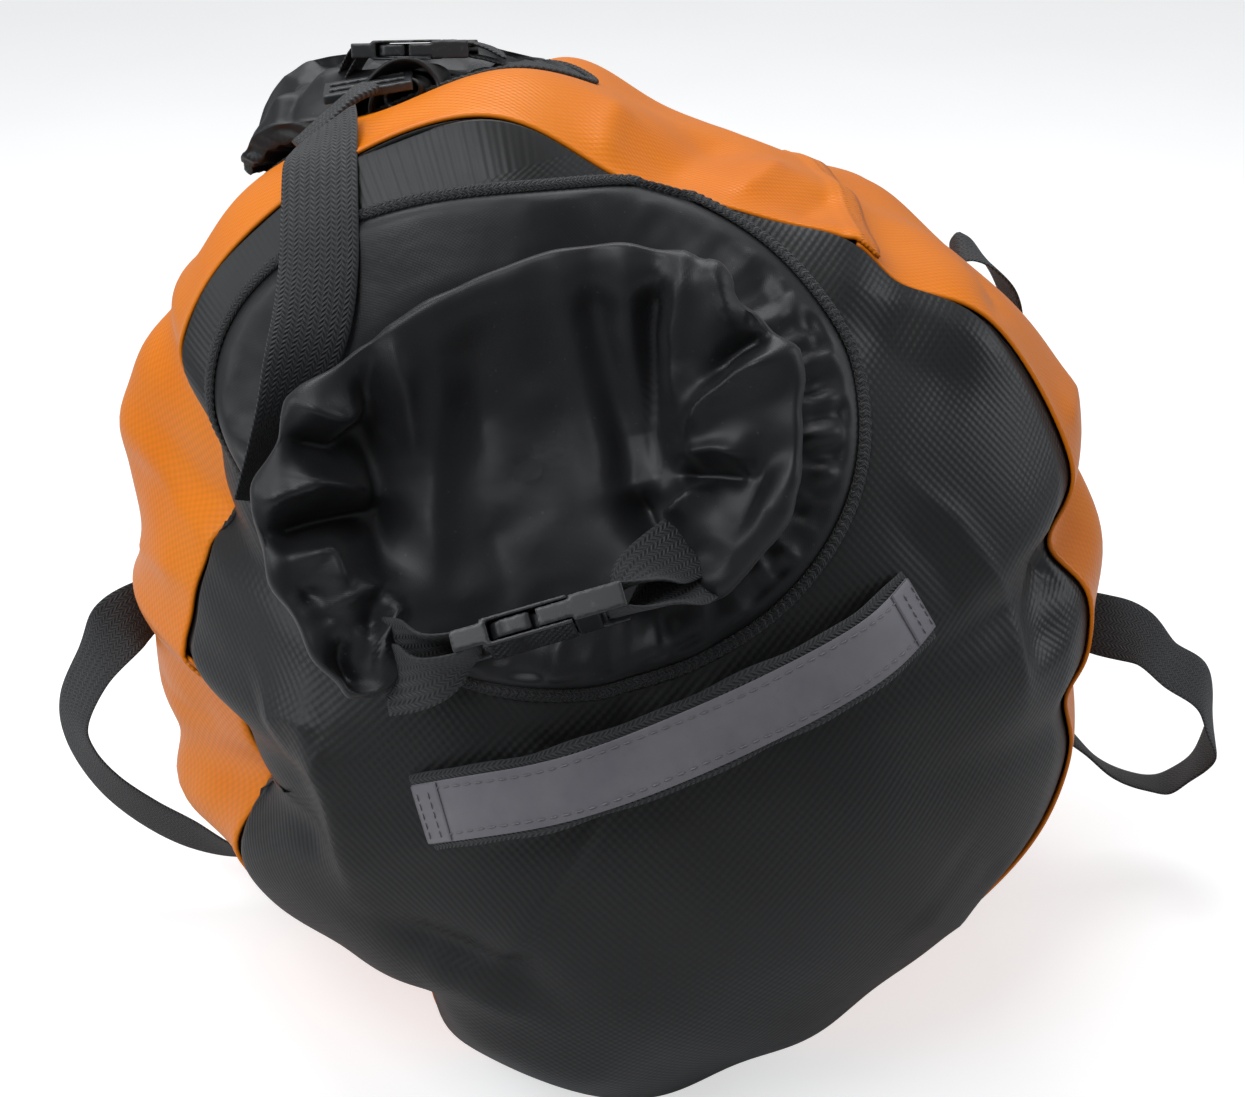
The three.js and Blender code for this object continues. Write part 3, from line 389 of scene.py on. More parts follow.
# ---------- materials ----------
class Shader:
    """Short names for building one material's nodes."""

    def __init__(self, name):
        self.material = bpy.data.materials.new(name)
        self.material.use_nodes = True
        self.tree = self.material.node_tree
        self.surface = self.tree.nodes["Principled BSDF"]

    def put(self, socket, value):
        if isinstance(value, bpy.types.NodeSocket):
            self.tree.links.new(value, socket)
        elif value is not None:
            socket.default_value = value

    def node(self, kind, **inputs):
        made = self.tree.nodes.new("ShaderNode" + kind)
        for name, value in inputs.items():
            self.put(made.inputs[name.replace("_", " ")], value)
        return made

    def math(self, operation, a, b=0.0, c=0.0):
        made = self.tree.nodes.new("ShaderNodeMath")
        made.operation = operation
        for socket, value in zip(made.inputs, (a, b, c)):
            self.put(socket, value)
        return made.outputs[0]

    def cloth(self):
        """The cloth's own coordinates in millimetres."""
        uv = self.tree.nodes.new("ShaderNodeUVMap")
        uv.uv_map = "cloth"
        parts = self.node("SeparateXYZ", Vector=uv.outputs[0])
        return parts.outputs[0], parts.outputs[1]

    def place(self):
        return self.node("TexCoord").outputs["Object"]

    def noise(self, scale, detail=3.0, rough=0.5, vector=None, distortion=0.0):
        made = self.node(
            "TexNoise",
            Scale=scale,
            Detail=detail,
            Roughness=rough,
            Distortion=distortion,
            Vector=vector or self.place(),
        )
        return made.outputs["Fac"]

    def range(self, value, low, high, to_low, to_high):
        return self.node(
            "MapRange", Value=value, From_Min=low, From_Max=high, To_Min=to_low, To_Max=to_high
        ).outputs[0]

    def colours(self, share, first, second):
        made = self.tree.nodes.new("ShaderNodeMix")
        made.data_type = "RGBA"
        self.put(made.inputs[0], share)
        self.put(made.inputs[6], first if isinstance(first, bpy.types.NodeSocket) else (*first, 1))
        self.put(made.inputs[7], second if isinstance(second, bpy.types.NodeSocket) else (*second, 1))
        return made.outputs[2]

    def bump(self, height, depth_mm, under=None):
        made = self.node("Bump", Height=height, Strength=1.0, Distance=depth_mm * MM, Normal=under)
        return made.outputs[0]

    def set(self, **inputs):
        for name, value in inputs.items():
            self.put(self.surface.inputs[name.replace("_", " ")], value)
        return self.material

    def checks(self, u, v, pitch):
        """Plain weave: threads rise and dip by turns, from 0 to 1."""
        a = self.math("SINE", self.math("MULTIPLY", u, PI / pitch))
        b = self.math("SINE", self.math("MULTIPLY", v, PI / pitch))
        return self.math("MULTIPLY_ADD", self.math("MULTIPLY", a, b), 0.5, 0.5)

    def zigzag(self, u, v, column, pitch):
        """Herringbone twill: slanted threads whose slope turns at each column."""
        fold = self.math("PINGPONG", u, column)
        slant = self.math("ADD", v, fold)
        wave = self.math("SINE", self.math("MULTIPLY", slant, 2 * PI / pitch))
        rib = self.math("ABSOLUTE", self.math("SINE", self.math("MULTIPLY", u, PI / column)))
        return self.math("MULTIPLY_ADD", self.math("MULTIPLY", wave, rib), 0.5, 0.5)


WEAVE = 1.62  # pitch of the tarpaulin's threads
WELD_COLUMN, WELD_PITCH = 2.6, 2.4


def coated_cloth(name, colour, faded, rough, weave_depth, specular):
    """PVC tarpaulin: its scrim shows through the coating as a weave, with painted shade darkening the weave's
    hollows in the colour; the coating is worn and dusty in places.
    """
    s = Shader(name)
    u, v = s.cloth()
    weave = s.checks(u, v, WEAVE)
    patches = s.noise(14, 4, 0.6)
    worn = s.range(patches, 0.35, 0.7, 0.0, 1.0)
    dust = s.range(s.noise(420, 2, 0.7), 0.6, 0.8, 0.0, 1.0)
    # painted shade: the colour is darkened where the weave dips
    low = s.range(weave, 0, 1, 0.25, 0.0)
    mixed = s.colours(s.math("MULTIPLY", worn, 0.55), colour, faded)
    shaded = s.colours(low, mixed, [c * 0.45 for c in colour])
    grain = s.bump(s.noise(900, 2, 0.6), 0.03)
    weld = s.tree.nodes.new("ShaderNodeAttribute")
    weld.attribute_name = "weld"
    pressed = s.math("MULTIPLY", s.zigzag(u, v, WELD_COLUMN, WELD_PITCH), weld.outputs["Fac"])
    surface = s.bump(weave, weave_depth, s.bump(pressed, 0.45, grain))
    gloss = s.range(patches, 0.3, 0.75, rough - 0.05, rough + 0.09)
    mottled = s.math("ADD", gloss, s.math("MULTIPLY", dust, 0.06))
    return s.set(Base_Color=shaded, Roughness=mottled, Normal=surface, Specular_IOR_Level=specular)


def thin_nylon(name):
    """Coated ripstop-weight nylon, with fine crumples between its folds."""
    s = Shader(name)
    u, v = s.cloth()
    fine = s.checks(u, v, 0.42)
    place = s.place()
    crumple = s.noise(55, 3, 0.5, place, 0.3)
    tone = s.range(s.noise(18, 3), 0.3, 0.7, 0.0, 1.0)
    specks = s.range(s.noise(700, 1, 0.4), 0.74, 0.8, 0.0, 1.0)
    colour = s.colours(tone, (0.0045, 0.0047, 0.0054), (0.008, 0.0082, 0.0092))
    flecked = s.colours(s.math("MULTIPLY", specks, 0.35), colour, (0.06, 0.06, 0.055))
    surface = s.bump(fine, 0.02, s.bump(crumple, 0.45))
    rough = s.range(s.noise(40, 3), 0.3, 0.7, 0.40, 0.54)
    return s.set(
        Base_Color=flecked,
        Roughness=rough,
        Normal=surface,
        Specular_IOR_Level=0.4,
        Sheen_Weight=0.06,
        Sheen_Roughness=0.4,
    )


def webbing_cloth(name, colour=(0.011, 0.0112, 0.012), column=1.7, pitch=1.75):
    """Woven polypropylene webbing with a herringbone face; its colour is a painted highlight on the raised
    threads and painted shade in the dips.
    """
    s = Shader(name)
    u, v = s.cloth()
    weave = s.zigzag(u, v, column, pitch)
    fibres = s.noise(1500, 2, 0.6)
    # painted light and shade: raised threads take the lit colour, dips a much darker copy
    deep = s.range(weave, 0.1, 0.8, 0.0, 1.0)
    # worn varies how bright the painted highlight is, in patches
    worn = s.range(s.noise(60, 3), 0.35, 0.75, 0.0, 0.5)
    lit = s.colours(worn, [c * 2.6 for c in colour], [c * 4.2 for c in colour])
    shaded = s.colours(deep, [c * 0.3 for c in colour], lit)
    surface = s.bump(weave, 0.42, s.bump(fibres, 0.05))
    return s.set(
        Base_Color=shaded, Roughness=0.62, Normal=surface, Specular_IOR_Level=0.45, Sheen_Weight=0.06
    )


def moulded_plastic(name):
    """Acetal hardware: satin moulded skin, scuffed along its edges."""
    s = Shader(name)
    place = s.place()
    grain = s.bump(s.noise(2200, 2, 0.6, place), 0.015)
    scuffs = s.range(s.noise(260, 4, 0.75, place, 1.5), 0.58, 0.72, 0.0, 1.0)
    edges = s.range(s.node("NewGeometry").outputs["Pointiness"], 0.5, 0.6, 0.0, 1.0)
    wear = s.math("MULTIPLY", s.math("MAXIMUM", scuffs, edges), 0.5)
    colour = s.colours(wear, (0.014, 0.0145, 0.016), (0.075, 0.075, 0.078))
    rough = s.range(wear, 0, 1, 0.33, 0.6)
    return s.set(Base_Color=colour, Roughness=rough, Normal=grain, Specular_IOR_Level=0.5)


def reflector_tape(name):
    """Grey retroreflective tape: a fine bead layer, rubbed and slightly buckled."""
    s = Shader(name)
    place = s.place()
    beads = s.noise(2600, 1, 0.5, place)
    rubbed = s.range(s.noise(34, 4, 0.6, place), 0.3, 0.7, 0.0, 1.0)
    marks = s.range(s.noise(160, 4, 0.7, place, 2.0), 0.6, 0.72, 0.0, 1.0)
    colour = s.colours(rubbed, (0.135, 0.128, 0.145), (0.185, 0.178, 0.19))
    marked = s.colours(s.math("MULTIPLY", marks, 0.25), colour, (0.10, 0.095, 0.10))
    surface = s.bump(beads, 0.02, s.bump(s.noise(55, 2, 0.5, place), 0.5))
    return s.set(Base_Color=marked, Roughness=0.46, Normal=surface, Metallic=0.12, Specular_IOR_Level=0.5)


def plain_thread(name, colour):
    """Sewing thread: a two-ply twist."""
    s = Shader(name)
    twist = s.noise(1400, 2, 0.5)
    shade = s.colours(s.range(twist, 0.3, 0.7, 0, 1), [c * 0.6 for c in colour], colour)
    return s.set(Base_Color=shade, Roughness=0.6, Normal=s.bump(twist, 0.08))


def rope_yarn(name):
    """Floating braided rope with dark tracer strands."""
    s = Shader(name)
    wave = s.node("TexWave", Scale=110.0, Distortion=3.0, Detail=2.0, Vector=s.place()).outputs["Fac"]
    tracer = s.range(s.noise(120, 2), 0.6, 0.66, 0.0, 1.0)
    yarn = s.colours(s.range(wave, 0, 1, 0, 1), (0.55, 0.33, 0.02), (0.85, 0.6, 0.06))
    colour = s.colours(tracer, yarn, (0.25, 0.05, 0.01))
    return s.set(Base_Color=colour, Roughness=0.7, Normal=s.bump(wave, 0.6), Sheen_Weight=0.2)


def cell_foam(name):
    """Closed-cell foam, cut and slightly dirty."""
    s = Shader(name)
    cells = s.node("TexVoronoi", Scale=380.0, Vector=s.place()).outputs["Distance"]
    dirt = s.range(s.noise(25, 4), 0.4, 0.75, 0.0, 1.0)
    colour = s.colours(dirt, (0.68, 0.68, 0.64), (0.5, 0.48, 0.42))
    return s.set(Base_Color=colour, Roughness=0.85, Normal=s.bump(cells, 0.3))


ORANGE = coated_cloth("orange_pvc", (0.80, 0.195, 0.0), (0.86, 0.25, 0.006), 0.36, 0.12, 0.28)
BLACK = coated_cloth("black_pvc", (0.0075, 0.0076, 0.008), (0.0125, 0.0118, 0.011), 0.45, 0.14, 0.42)
NYLON = thin_nylon("collar_nylon")
WEB = webbing_cloth("black_webbing")
BINDING = webbing_cloth("seam_tape", (0.008, 0.008, 0.0085), 1.2, 1.3)
PLASTIC = moulded_plastic("black_plastic")
TAPE = reflector_tape("reflective_tape")
GREY_THREAD = plain_thread("grey_thread", (0.2, 0.19, 0.2))
ROPE_LOOK = rope_yarn("rope")
FOAM_LOOK = cell_foam("foam")


def give(obj, body, slot, *nodes):
    """Rides obj on a body and hides the CAD nodes it stands for; the slot is not used."""
    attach(obj, body)
    if nodes:
        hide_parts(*nodes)
    return obj


def bend(obj, first, second, start, end, slot, *nodes):
    """Bakes obj's transform into its mesh and hides the CAD nodes it stands for; the two bodies and the two
    points are not used.
    """
    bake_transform(obj)
    if nodes:
        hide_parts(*nodes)
    return obj


# ---------- drum ----------
SEAM_X, SEAM_Z, SEAM_HALF_X, SEAM_HALF_Z = -29.0, 256.0, 106.0, 66.0
# Folds of the end panel in its own plane: height, width, sharpness, line of (x, z) points.
PANEL_FOLDS = [
    (5.5, 9, 1.3, [(-120, 160), (-108, 166), (-92, 168)]),
    (6.0, 9, 1.25, [(-92, 170), (-96, 154), (-91, 139), (-88, 112)]),
    (-4.0, 12, 1.8, [(-112, 150), (-108, 132), (-104, 112)]),
    (-4.5, 8, 1.5, [(-84, 104), (-61, 102), (-36, 98), (-22, 86)]),
    (3.0, 10, 1.6, [(-72, 92), (-48, 86), (-26, 74)]),
    (1.4, 3.2, 1.2, [(90, 240), (107, 225), (124, 200), (131, 178)]),
    (-0.9, 5, 1.6, [(84, 232), (100, 214), (112, 194)]),
    (-6.0, 13, 2.0, [(152, 206), (141, 188), (146, 164)]),
    (3.5, 6, 1.3, [(139, 206), (131, 187), (137, 160)]),
    (3.0, 9, 1.5, [(62, 296), (84, 284), (112, 274), (134, 258)]),
    (-2.2, 9, 1.6, [(70, 284), (92, 270), (118, 258)]),
    (2.2, 12, 1.6, [(-128, 236), (-118, 210), (-112, 190)]),
    (-2.0, 10, 1.6, [(108, 118), (124, 104), (134, 86)]),
    (2.4, 8, 1.4, [(98, 96), (112, 80), (124, 66)]),
    (1.8, 16, 1.8, [(-60, 60), (-30, 44), (10, 36)]),
]


def panel_relief(x, z, share):
    folds = creases(x, z, PANEL_FOLDS)
    soft = 0.8 * ripple(x, z, 11, shortest=45, longest=120)
    return (folds + soft) * smooth((1 - share) / 0.09) * smooth(share / 0.06)


def arc_run():
    """Run of cloth from the dome's middle out to each radius, for an even weave."""
    reach = np.linspace(0, FRONT_RADIUS - 1, 300)
    run = run_lengths(np.stack([reach, dome_y(reach, np.full_like(reach, AXIS_HEIGHT))], -1))
    return reach, run


def front_panel():
    angles = np.arange(0, 360, 0.9)
    spans = np.concatenate([np.linspace(0, 0.7, 46), np.linspace(0.7, 1, 46)[1:]])
    rim = front_rim(angles)
    across, upright = cos_sin(angles)
    towards = np.arctan2(
        (AXIS_HEIGHT + FRONT_RADIUS * upright - SEAM_Z) / SEAM_HALF_Z,
        (FRONT_RADIUS * across - SEAM_X) / SEAM_HALF_X,
    )
    hole_x = SEAM_X + SEAM_HALF_X * np.cos(towards)
    hole_z = SEAM_Z + SEAM_HALF_Z * np.sin(towards)
    span = spans[:, None]
    x = hole_x * (1 - span) + rim[:, 0] * span
    z = np.maximum(hole_z * (1 - span) + rim[:, 2] * span, FOOT_GAP)
    tucked = 2.2 * smooth((span - 0.9) / 0.1)
    face = on_dome(x, z, panel_relief(x, z, span) - tucked)
    rows = [face[:-1]]
    for depth in (0.0, 0.02, 0.05):
        rows.append(wall_skin(angles, depth, -2.2)[None])
    points = np.concatenate(rows)
    reach, run = arc_run()
    radius = np.hypot(x, z - AXIS_HEIGHT)
    stretch = np.interp(radius, reach, run) / np.maximum(radius, 1e-3)
    cloth = np.stack([x * stretch, (z - AXIS_HEIGHT) * stretch], -1)
    extra = np.repeat(cloth[-1:], len(points) - len(cloth) + 1, 0)
    uv = np.concatenate([cloth[:-1], extra])
    uv = np.concatenate([uv, uv[:, :1]], 1)
    return sheet("front_panel_cloth", points, BLACK, uv, wrap=True, flip=True)


# Folds of the wall: height, width, sharpness, line of (angle in degrees x 2.9, run back) in millimetres.
WALL_FOLDS = [
    (-5.0, 13, 1.8, [(246, 0), (240, 30), (228, 70), (215, 110)]),
    (3.5, 9, 1.4, [(268, 0), (266, 34), (262, 70)]),
    (3.0, 8, 1.4, [(222, 8), (208, 40), (196, 80)]),
    (-2.5, 7, 1.5, [(196, 4), (188, 30), (176, 60)]),
    (2.5, 8, 1.5, [(352, 8), (346, 36), (350, 80)]),
    (-3.0, 10, 1.6, [(470, 6), (486, 34), (492, 74)]),
    (3.0, 8, 1.4, [(506, 6), (512, 34), (520, 70)]),
    (-3.5, 10, 1.5, [(566, 6), (572, 34), (566, 74)]),
    (3.0, 8, 1.4, [(596, 10), (604, 40), (600, 82)]),
    (-2.5, 9, 1.5, [(628, 8), (636, 40), (650, 80)]),
    (2.6, 7, 1.4, [(660, 8), (664, 36), (680, 70)]),
    (-3.0, 9, 1.6, [(1030, 8), (1036, 40), (1024, 80)]),
    (2.8, 8, 1.4, [(1056, 8), (1060, 40), (1070, 80)]),
    (-3.0, 9, 1.6, [(42, 6), (36, 36), (44, 76)]),
    (2.8, 8, 1.4, [(72, 6), (66, 36), (60, 76)]),
    (-2.6, 8, 1.5, [(120, 6), (112, 36), (116, 70)]),
]
WALL_RUN = 183.0
ROUND = 2.9  # millimetres of wall in one degree


def wall_relief(angle, depth):
    around, back = (angle % 360) * ROUND, depth * WALL_RUN
    folds = creases(around, back, WALL_FOLDS)
    soft = 0.9 * ripple(around * np.ones_like(back), back, 23, shortest=50, longest=140)
    resting = smooth((hump(turn_from(270, angle), 30, 4) - 0.1) / 0.6)
    return (folds + soft) * smooth(depth / 0.05) * smooth((1 - depth) / 0.1) * (1 - resting)


def wall_sheet(name, start, end, lapped):
    step = 0.75
    angles = np.linspace(start, end, int((end - start) / step) + 1)
    near, middle, far = np.linspace(0, 0.12, 12), np.linspace(0.12, 0.88, 44), np.linspace(0.88, 1, 12)
    depths = np.concatenate([near, middle[1:], far[1:]])
    angle, depth = np.meshgrid(angles, depths)
    lap = LAP / ROUND
    proud = np.zeros_like(angle)
    weld = np.zeros_like(angle)
    if lapped:
        from_edge = np.minimum(angle - start, end - angle)
        proud = (SHEET + 0.4) * smooth((lap + 2.0 - from_edge) / 1.6)
        weld = smooth((lap + 0.3 - from_edge) / 0.3) * smooth((from_edge - 0.25) / 0.2)
    points = wall_skin(angle, depth, wall_relief(angle, depth) + proud)
    uv = np.stack([angle * ROUND, depth * WALL_RUN], -1)
    obj = sheet(name, points, ORANGE, uv, flip=True)
    attribute = obj.data.attributes.new("weld", "FLOAT", "POINT")
    attribute.data.foreach_set("value", weld.ravel().astype(np.float32))
    return obj


def back_panel():
    angles = np.arange(0, 360, 1.5)
    shares = np.concatenate([[0.02], np.linspace(0.06, 0.99, 48)])
    rim = wall_skin(angles, 1.0, -2.0)
    share = shares[:, None]
    x = rim[:, 0] * share
    z = np.maximum(BACK_CENTRE_Z * (1 - share) + rim[:, 2] * share, FOOT_GAP)
    soft = 1.2 * ripple(x, z, 31, shortest=50, longest=120)
    folds = creases(x, z, [
        (3.0, 9, 1.5, [(60, 250), (84, 226), (104, 190)]),
        (-3.0, 10, 1.6, [(-60, 240), (-90, 214), (-104, 180)]),
        (2.5, 9, 1.5, [(-96, 110), (-70, 84), (-40, 60)]),
        (-2.5, 9, 1.5, [(92, 120), (76, 84), (50, 58)]),
    ])
    y = rim[:, 1] + BACK_DOME * (1 - share**2.4) + (soft + folds) * smooth((1 - share) / 0.12)
    rows = [np.stack([x, y * np.ones_like(x), z], -1)]
    for depth in (1.0, 0.985, 0.96):
        rows.append(wall_skin(angles, depth, -2.0)[None])
    points = np.concatenate(rows)
    uv = np.stack([x, z], -1)
    uv = np.concatenate([uv, np.repeat(uv[-1:], 3, 0)])
    uv = np.concatenate([uv, uv[:, :1]], 1)
    return sheet("back_panel_cloth", points, BLACK, uv, wrap=True)


give(front_panel(), "root", "black_pvc", "front_panel")
give(back_panel(), "root", "black_pvc", "back_panel")
LAP_TURN = LAP / ROUND
top_sheet = wall_sheet("wall_top_cloth", SEAM_TOP_RIGHT - LAP_TURN, SEAM_LEFT + LAP_TURN, True)
lower_sheet = wall_sheet("wall_lower_cloth", SEAM_LEFT, SEAM_TOP_RIGHT + 360, False)
give(top_sheet, "root", "orange_pvc", "wall_top_sheet")
give(lower_sheet, "root", "orange_pvc", "wall_lower_sheet")


# ---------- collars ----------
class Plane:
    """A collar's own frame: x across, y up and d out of its base plane."""

    def __init__(self, origin, across, up):
        self.origin = np.array(origin, float)
        self.x = unit(np.array(across, float))
        up = np.array(up, float)
        self.y = unit(up - self.x * (up @ self.x))
        self.d = np.cross(self.x, self.y)

    def world(self, x, y, d):
        x, y, d = np.broadcast_arrays(np.asarray(x, float), np.asarray(y, float), np.asarray(d, float))
        return self.origin + x[..., None] * self.x + y[..., None] * self.y + d[..., None] * self.d

    def local(self, p):
        v = p - self.origin
        return v @ self.x, v @ self.y, v @ self.d


FRONT = Plane([-28.7, -103.3, 245.8], [0.961, 0.138, 0.239], [-0.276, 0.481, 0.832])
TOP = Plane([-77, 55, 311], [0.915, 0, 0.4], [0, 1, -0.34])


def closed_curve(keys, count):
    """Smooth closed curve through keys, sampled evenly along its length."""
    keys = np.asarray(keys, float)
    looped = np.vstack([keys[-2:], keys, keys[:3]])
    dense = catmull(looped, 4000)
    first = int(np.argmin(np.linalg.norm(dense[:2000] - keys[0], axis=1)))
    rest = dense[first + 500:]
    last = first + 500 + int(np.argmin(np.linalg.norm(rest - keys[0], axis=1)))
    part = dense[first:last]
    run = run_lengths(part)
    places = np.linspace(0, run[-1], count + 1)[:-1]
    return along_line(places, run, part)


def loft(rings, counts):
    """Smooth surface through closed rings: counts gives the rows added after each ring but the last."""
    rings = np.asarray(rings, float)
    k = np.concatenate([2 * rings[:1] - rings[1:2], rings, 2 * rings[-1:] - rings[-2:-1]])
    rows = []
    for i, count in enumerate(counts):
        rows += [cubic(k, i, t) for t in np.arange(count) / count]
    rows.append(rings[-1])
    return np.array(rows)


def grid_normals(points, row, out):
    """Normals of a grid that is closed along its columns, on the side where one row faces out."""
    around = np.roll(points, -1, 1) - np.roll(points, 1, 1)
    inwards = np.gradient(points, axis=0)
    normals = unit(np.cross(around, inwards))
    return -normals if (normals[row] @ out).mean() < 0 else normals


def cloth_uv(points):
    """Even cloth coordinates for a grid that is closed along its columns."""
    steps = np.linalg.norm(np.diff(np.concatenate([points, points[:, :1]], 1), axis=1), axis=-1).mean(0)
    around = np.concatenate([[0], np.cumsum(steps)])
    down = np.concatenate([[0], np.cumsum(np.linalg.norm(np.diff(points, axis=0), axis=-1).mean(1))])
    return np.stack(np.meshgrid(around, down), -1)


def over_panel(x, y, lift):
    """Points of the collar's plane moved out until they stand proud of the panel."""
    point = FRONT.world(x, y, 0)
    for _ in range(14):
        gap = dome_y(point[..., 0], point[..., 2]) - point[..., 1] - lift
        point = point - gap[..., None] * FRONT.d
    return point


def closed_cloth(name, points, centre):
    """A collar's cloth from a grid closed along its columns, whose last row ends in one middle point."""
    rows, columns = points.shape[:2]
    start, last = (rows - 1) * columns, rows * columns
    fan = [(start + k, start + (k + 1) % columns, last) for k in range(columns)]
    faces = list(map(tuple, grid_faces(rows, columns, True)))
    uv = list(grid_uv(cloth_uv(points), rows, columns, True)) + [(0.0, 0.0)] * (3 * columns)
    vertices = np.vstack([points.reshape(-1, 3), centre])
    return mesh_object(name, vertices, faces + fan, NYLON, np.array(uv))


# The crest of the rolled collar, round from the right shoulder: across, up, out.
FRONT_CREST = [
    (84, 8, 42), (74, 31, 41), (60, 47, 39), (38, 57, 38), (4, 57, 38), (-30, 49, 38), (-58, 37, 38),
    (-72, 22, 38), (-80, 8, 38), (-80, -10, 37), (-76, -30, 35), (-69, -50, 33), (-57, -52, 31),
    (-47, -46, 25), (-28, -47, 16), (6, -48, 14), (30, -49, 20), (46, -50, 32), (62, -41, 38),
    (74, -26, 41), (81, -8, 42),
]
# Its folds in the same plane: height, width, sharpness, line of (across, up) points.
FRONT_HOOD_FOLDS = [
    (-7, 6, 1.4, [(54, 46), (46, 27), (38, 1), (36, -18)]),
    (5, 6, 1.3, [(62, 47), (54, 27), (48, 3)]),
    (8, 6, 1.2, [(84, 10), (70, 10), (58, 3), (48, -6)]),
    (-7, 4.5, 1.3, [(80, 17), (68, 14), (57, 9)]),
    (4, 4, 1.2, [(66, 44), (69, 33), (70, 20)]),
    (-3, 4, 1.4, [(74, 36), (75, 28), (73, 18)]),
    (5, 4, 1.2, [(46, -9), (57, -11), (65, -16)]),
    (-6, 4, 1.3, [(42, -14), (52, -17), (62, -21)]),
    (6, 4.5, 1.2, [(31, -26), (41, -24), (52, -19)]),
    (-8, 6, 1.5, [(29, -12), (30, -24), (34, -38)]),
    (3, 6, 1.5, [(46, -46), (60, -37), (71, -25)]),
    (-3, 5, 1.4, [(52, -40), (58, -30), (70, -10)]),
    (-7, 6, 1.5, [(-32, 46), (-40, 26), (-44, 3), (-50, -22)]),
    (4, 5, 1.2, [(-27, 48), (-29, 30), (-32, 12)]),
    (6, 5, 1.2, [(-60, 36), (-46, 28), (-37, 30)]),
    (-7, 4, 1.3, [(-66, 27), (-52, 20), (-38, 24)]),
    (6, 5, 1.2, [(-68, 17), (-52, 9), (-42, 4)]),
    (-10, 5, 1.3, [(-78, 1), (-61, 1), (-44, 1)]),
    (4, 4, 1.3, [(-78, 8), (-69, 11), (-58, 12)]),
    (6, 5, 1.3, [(-74, -7), (-63, -8), (-63, -24)]),
    (-5, 4, 1.4, [(-74, -16), (-67, -20), (-66, -30)]),
    (6, 4.5, 1.3, [(-71, -25), (-59, -23), (-50, -21)]),
    (-6, 4, 1.4, [(-62, -31), (-67, -39), (-67, -52)]),
    (6, 4, 1.2, [(-51, -22), (-49, -31), (-55, -38), (-57, -50)]),
    (-4, 3.5, 1.3, [(-55, -26), (-57, -36), (-61, -46)]),
    (-2.6, 5, 1.6, [(35, 54), (32, 33), (31, 8), (28, -20)]),
    (2.6, 5, 1.5, [(44, 50), (40, 25), (37, 0), (34, -20)]),
    (1.8, 5, 1.6, [(25, 56), (24, 30), (22, 2), (20, -24)]),
    (2.0, 6, 1.6, [(-12, 50), (-22, 22), (-32, -6), (-36, -30)]),
    (-1.6, 6, 1.6, [(-2, 52), (-8, 24), (-14, -8), (-16, -32)]),
    (1.2, 8, 1.8, [(10, 54), (8, 22), (5, -10), (4, -34)]),
]
FRONT_FLOOR = 17  # height of the cloth in the middle of the front roll
GATHERS = [(29, 0.3, 1.0), (47, 1.9, 0.7), (71, 4.1, 0.35)]  # how many round the collar, phase, strength


def gathers(turn):
    """Sharp-crested gathers round a collar's seam, between about -1 and 1."""
    total = 0
    for count, phase, strength in GATHERS:
        wobble = 0.8 * np.sin(3 * turn + phase) + 0.5 * np.sin(7 * turn + 2 * phase)
        total = total + strength * (1 - 2 * np.abs(np.sin((count * turn + phase) / 2 + wobble)) ** 0.75)
    return total


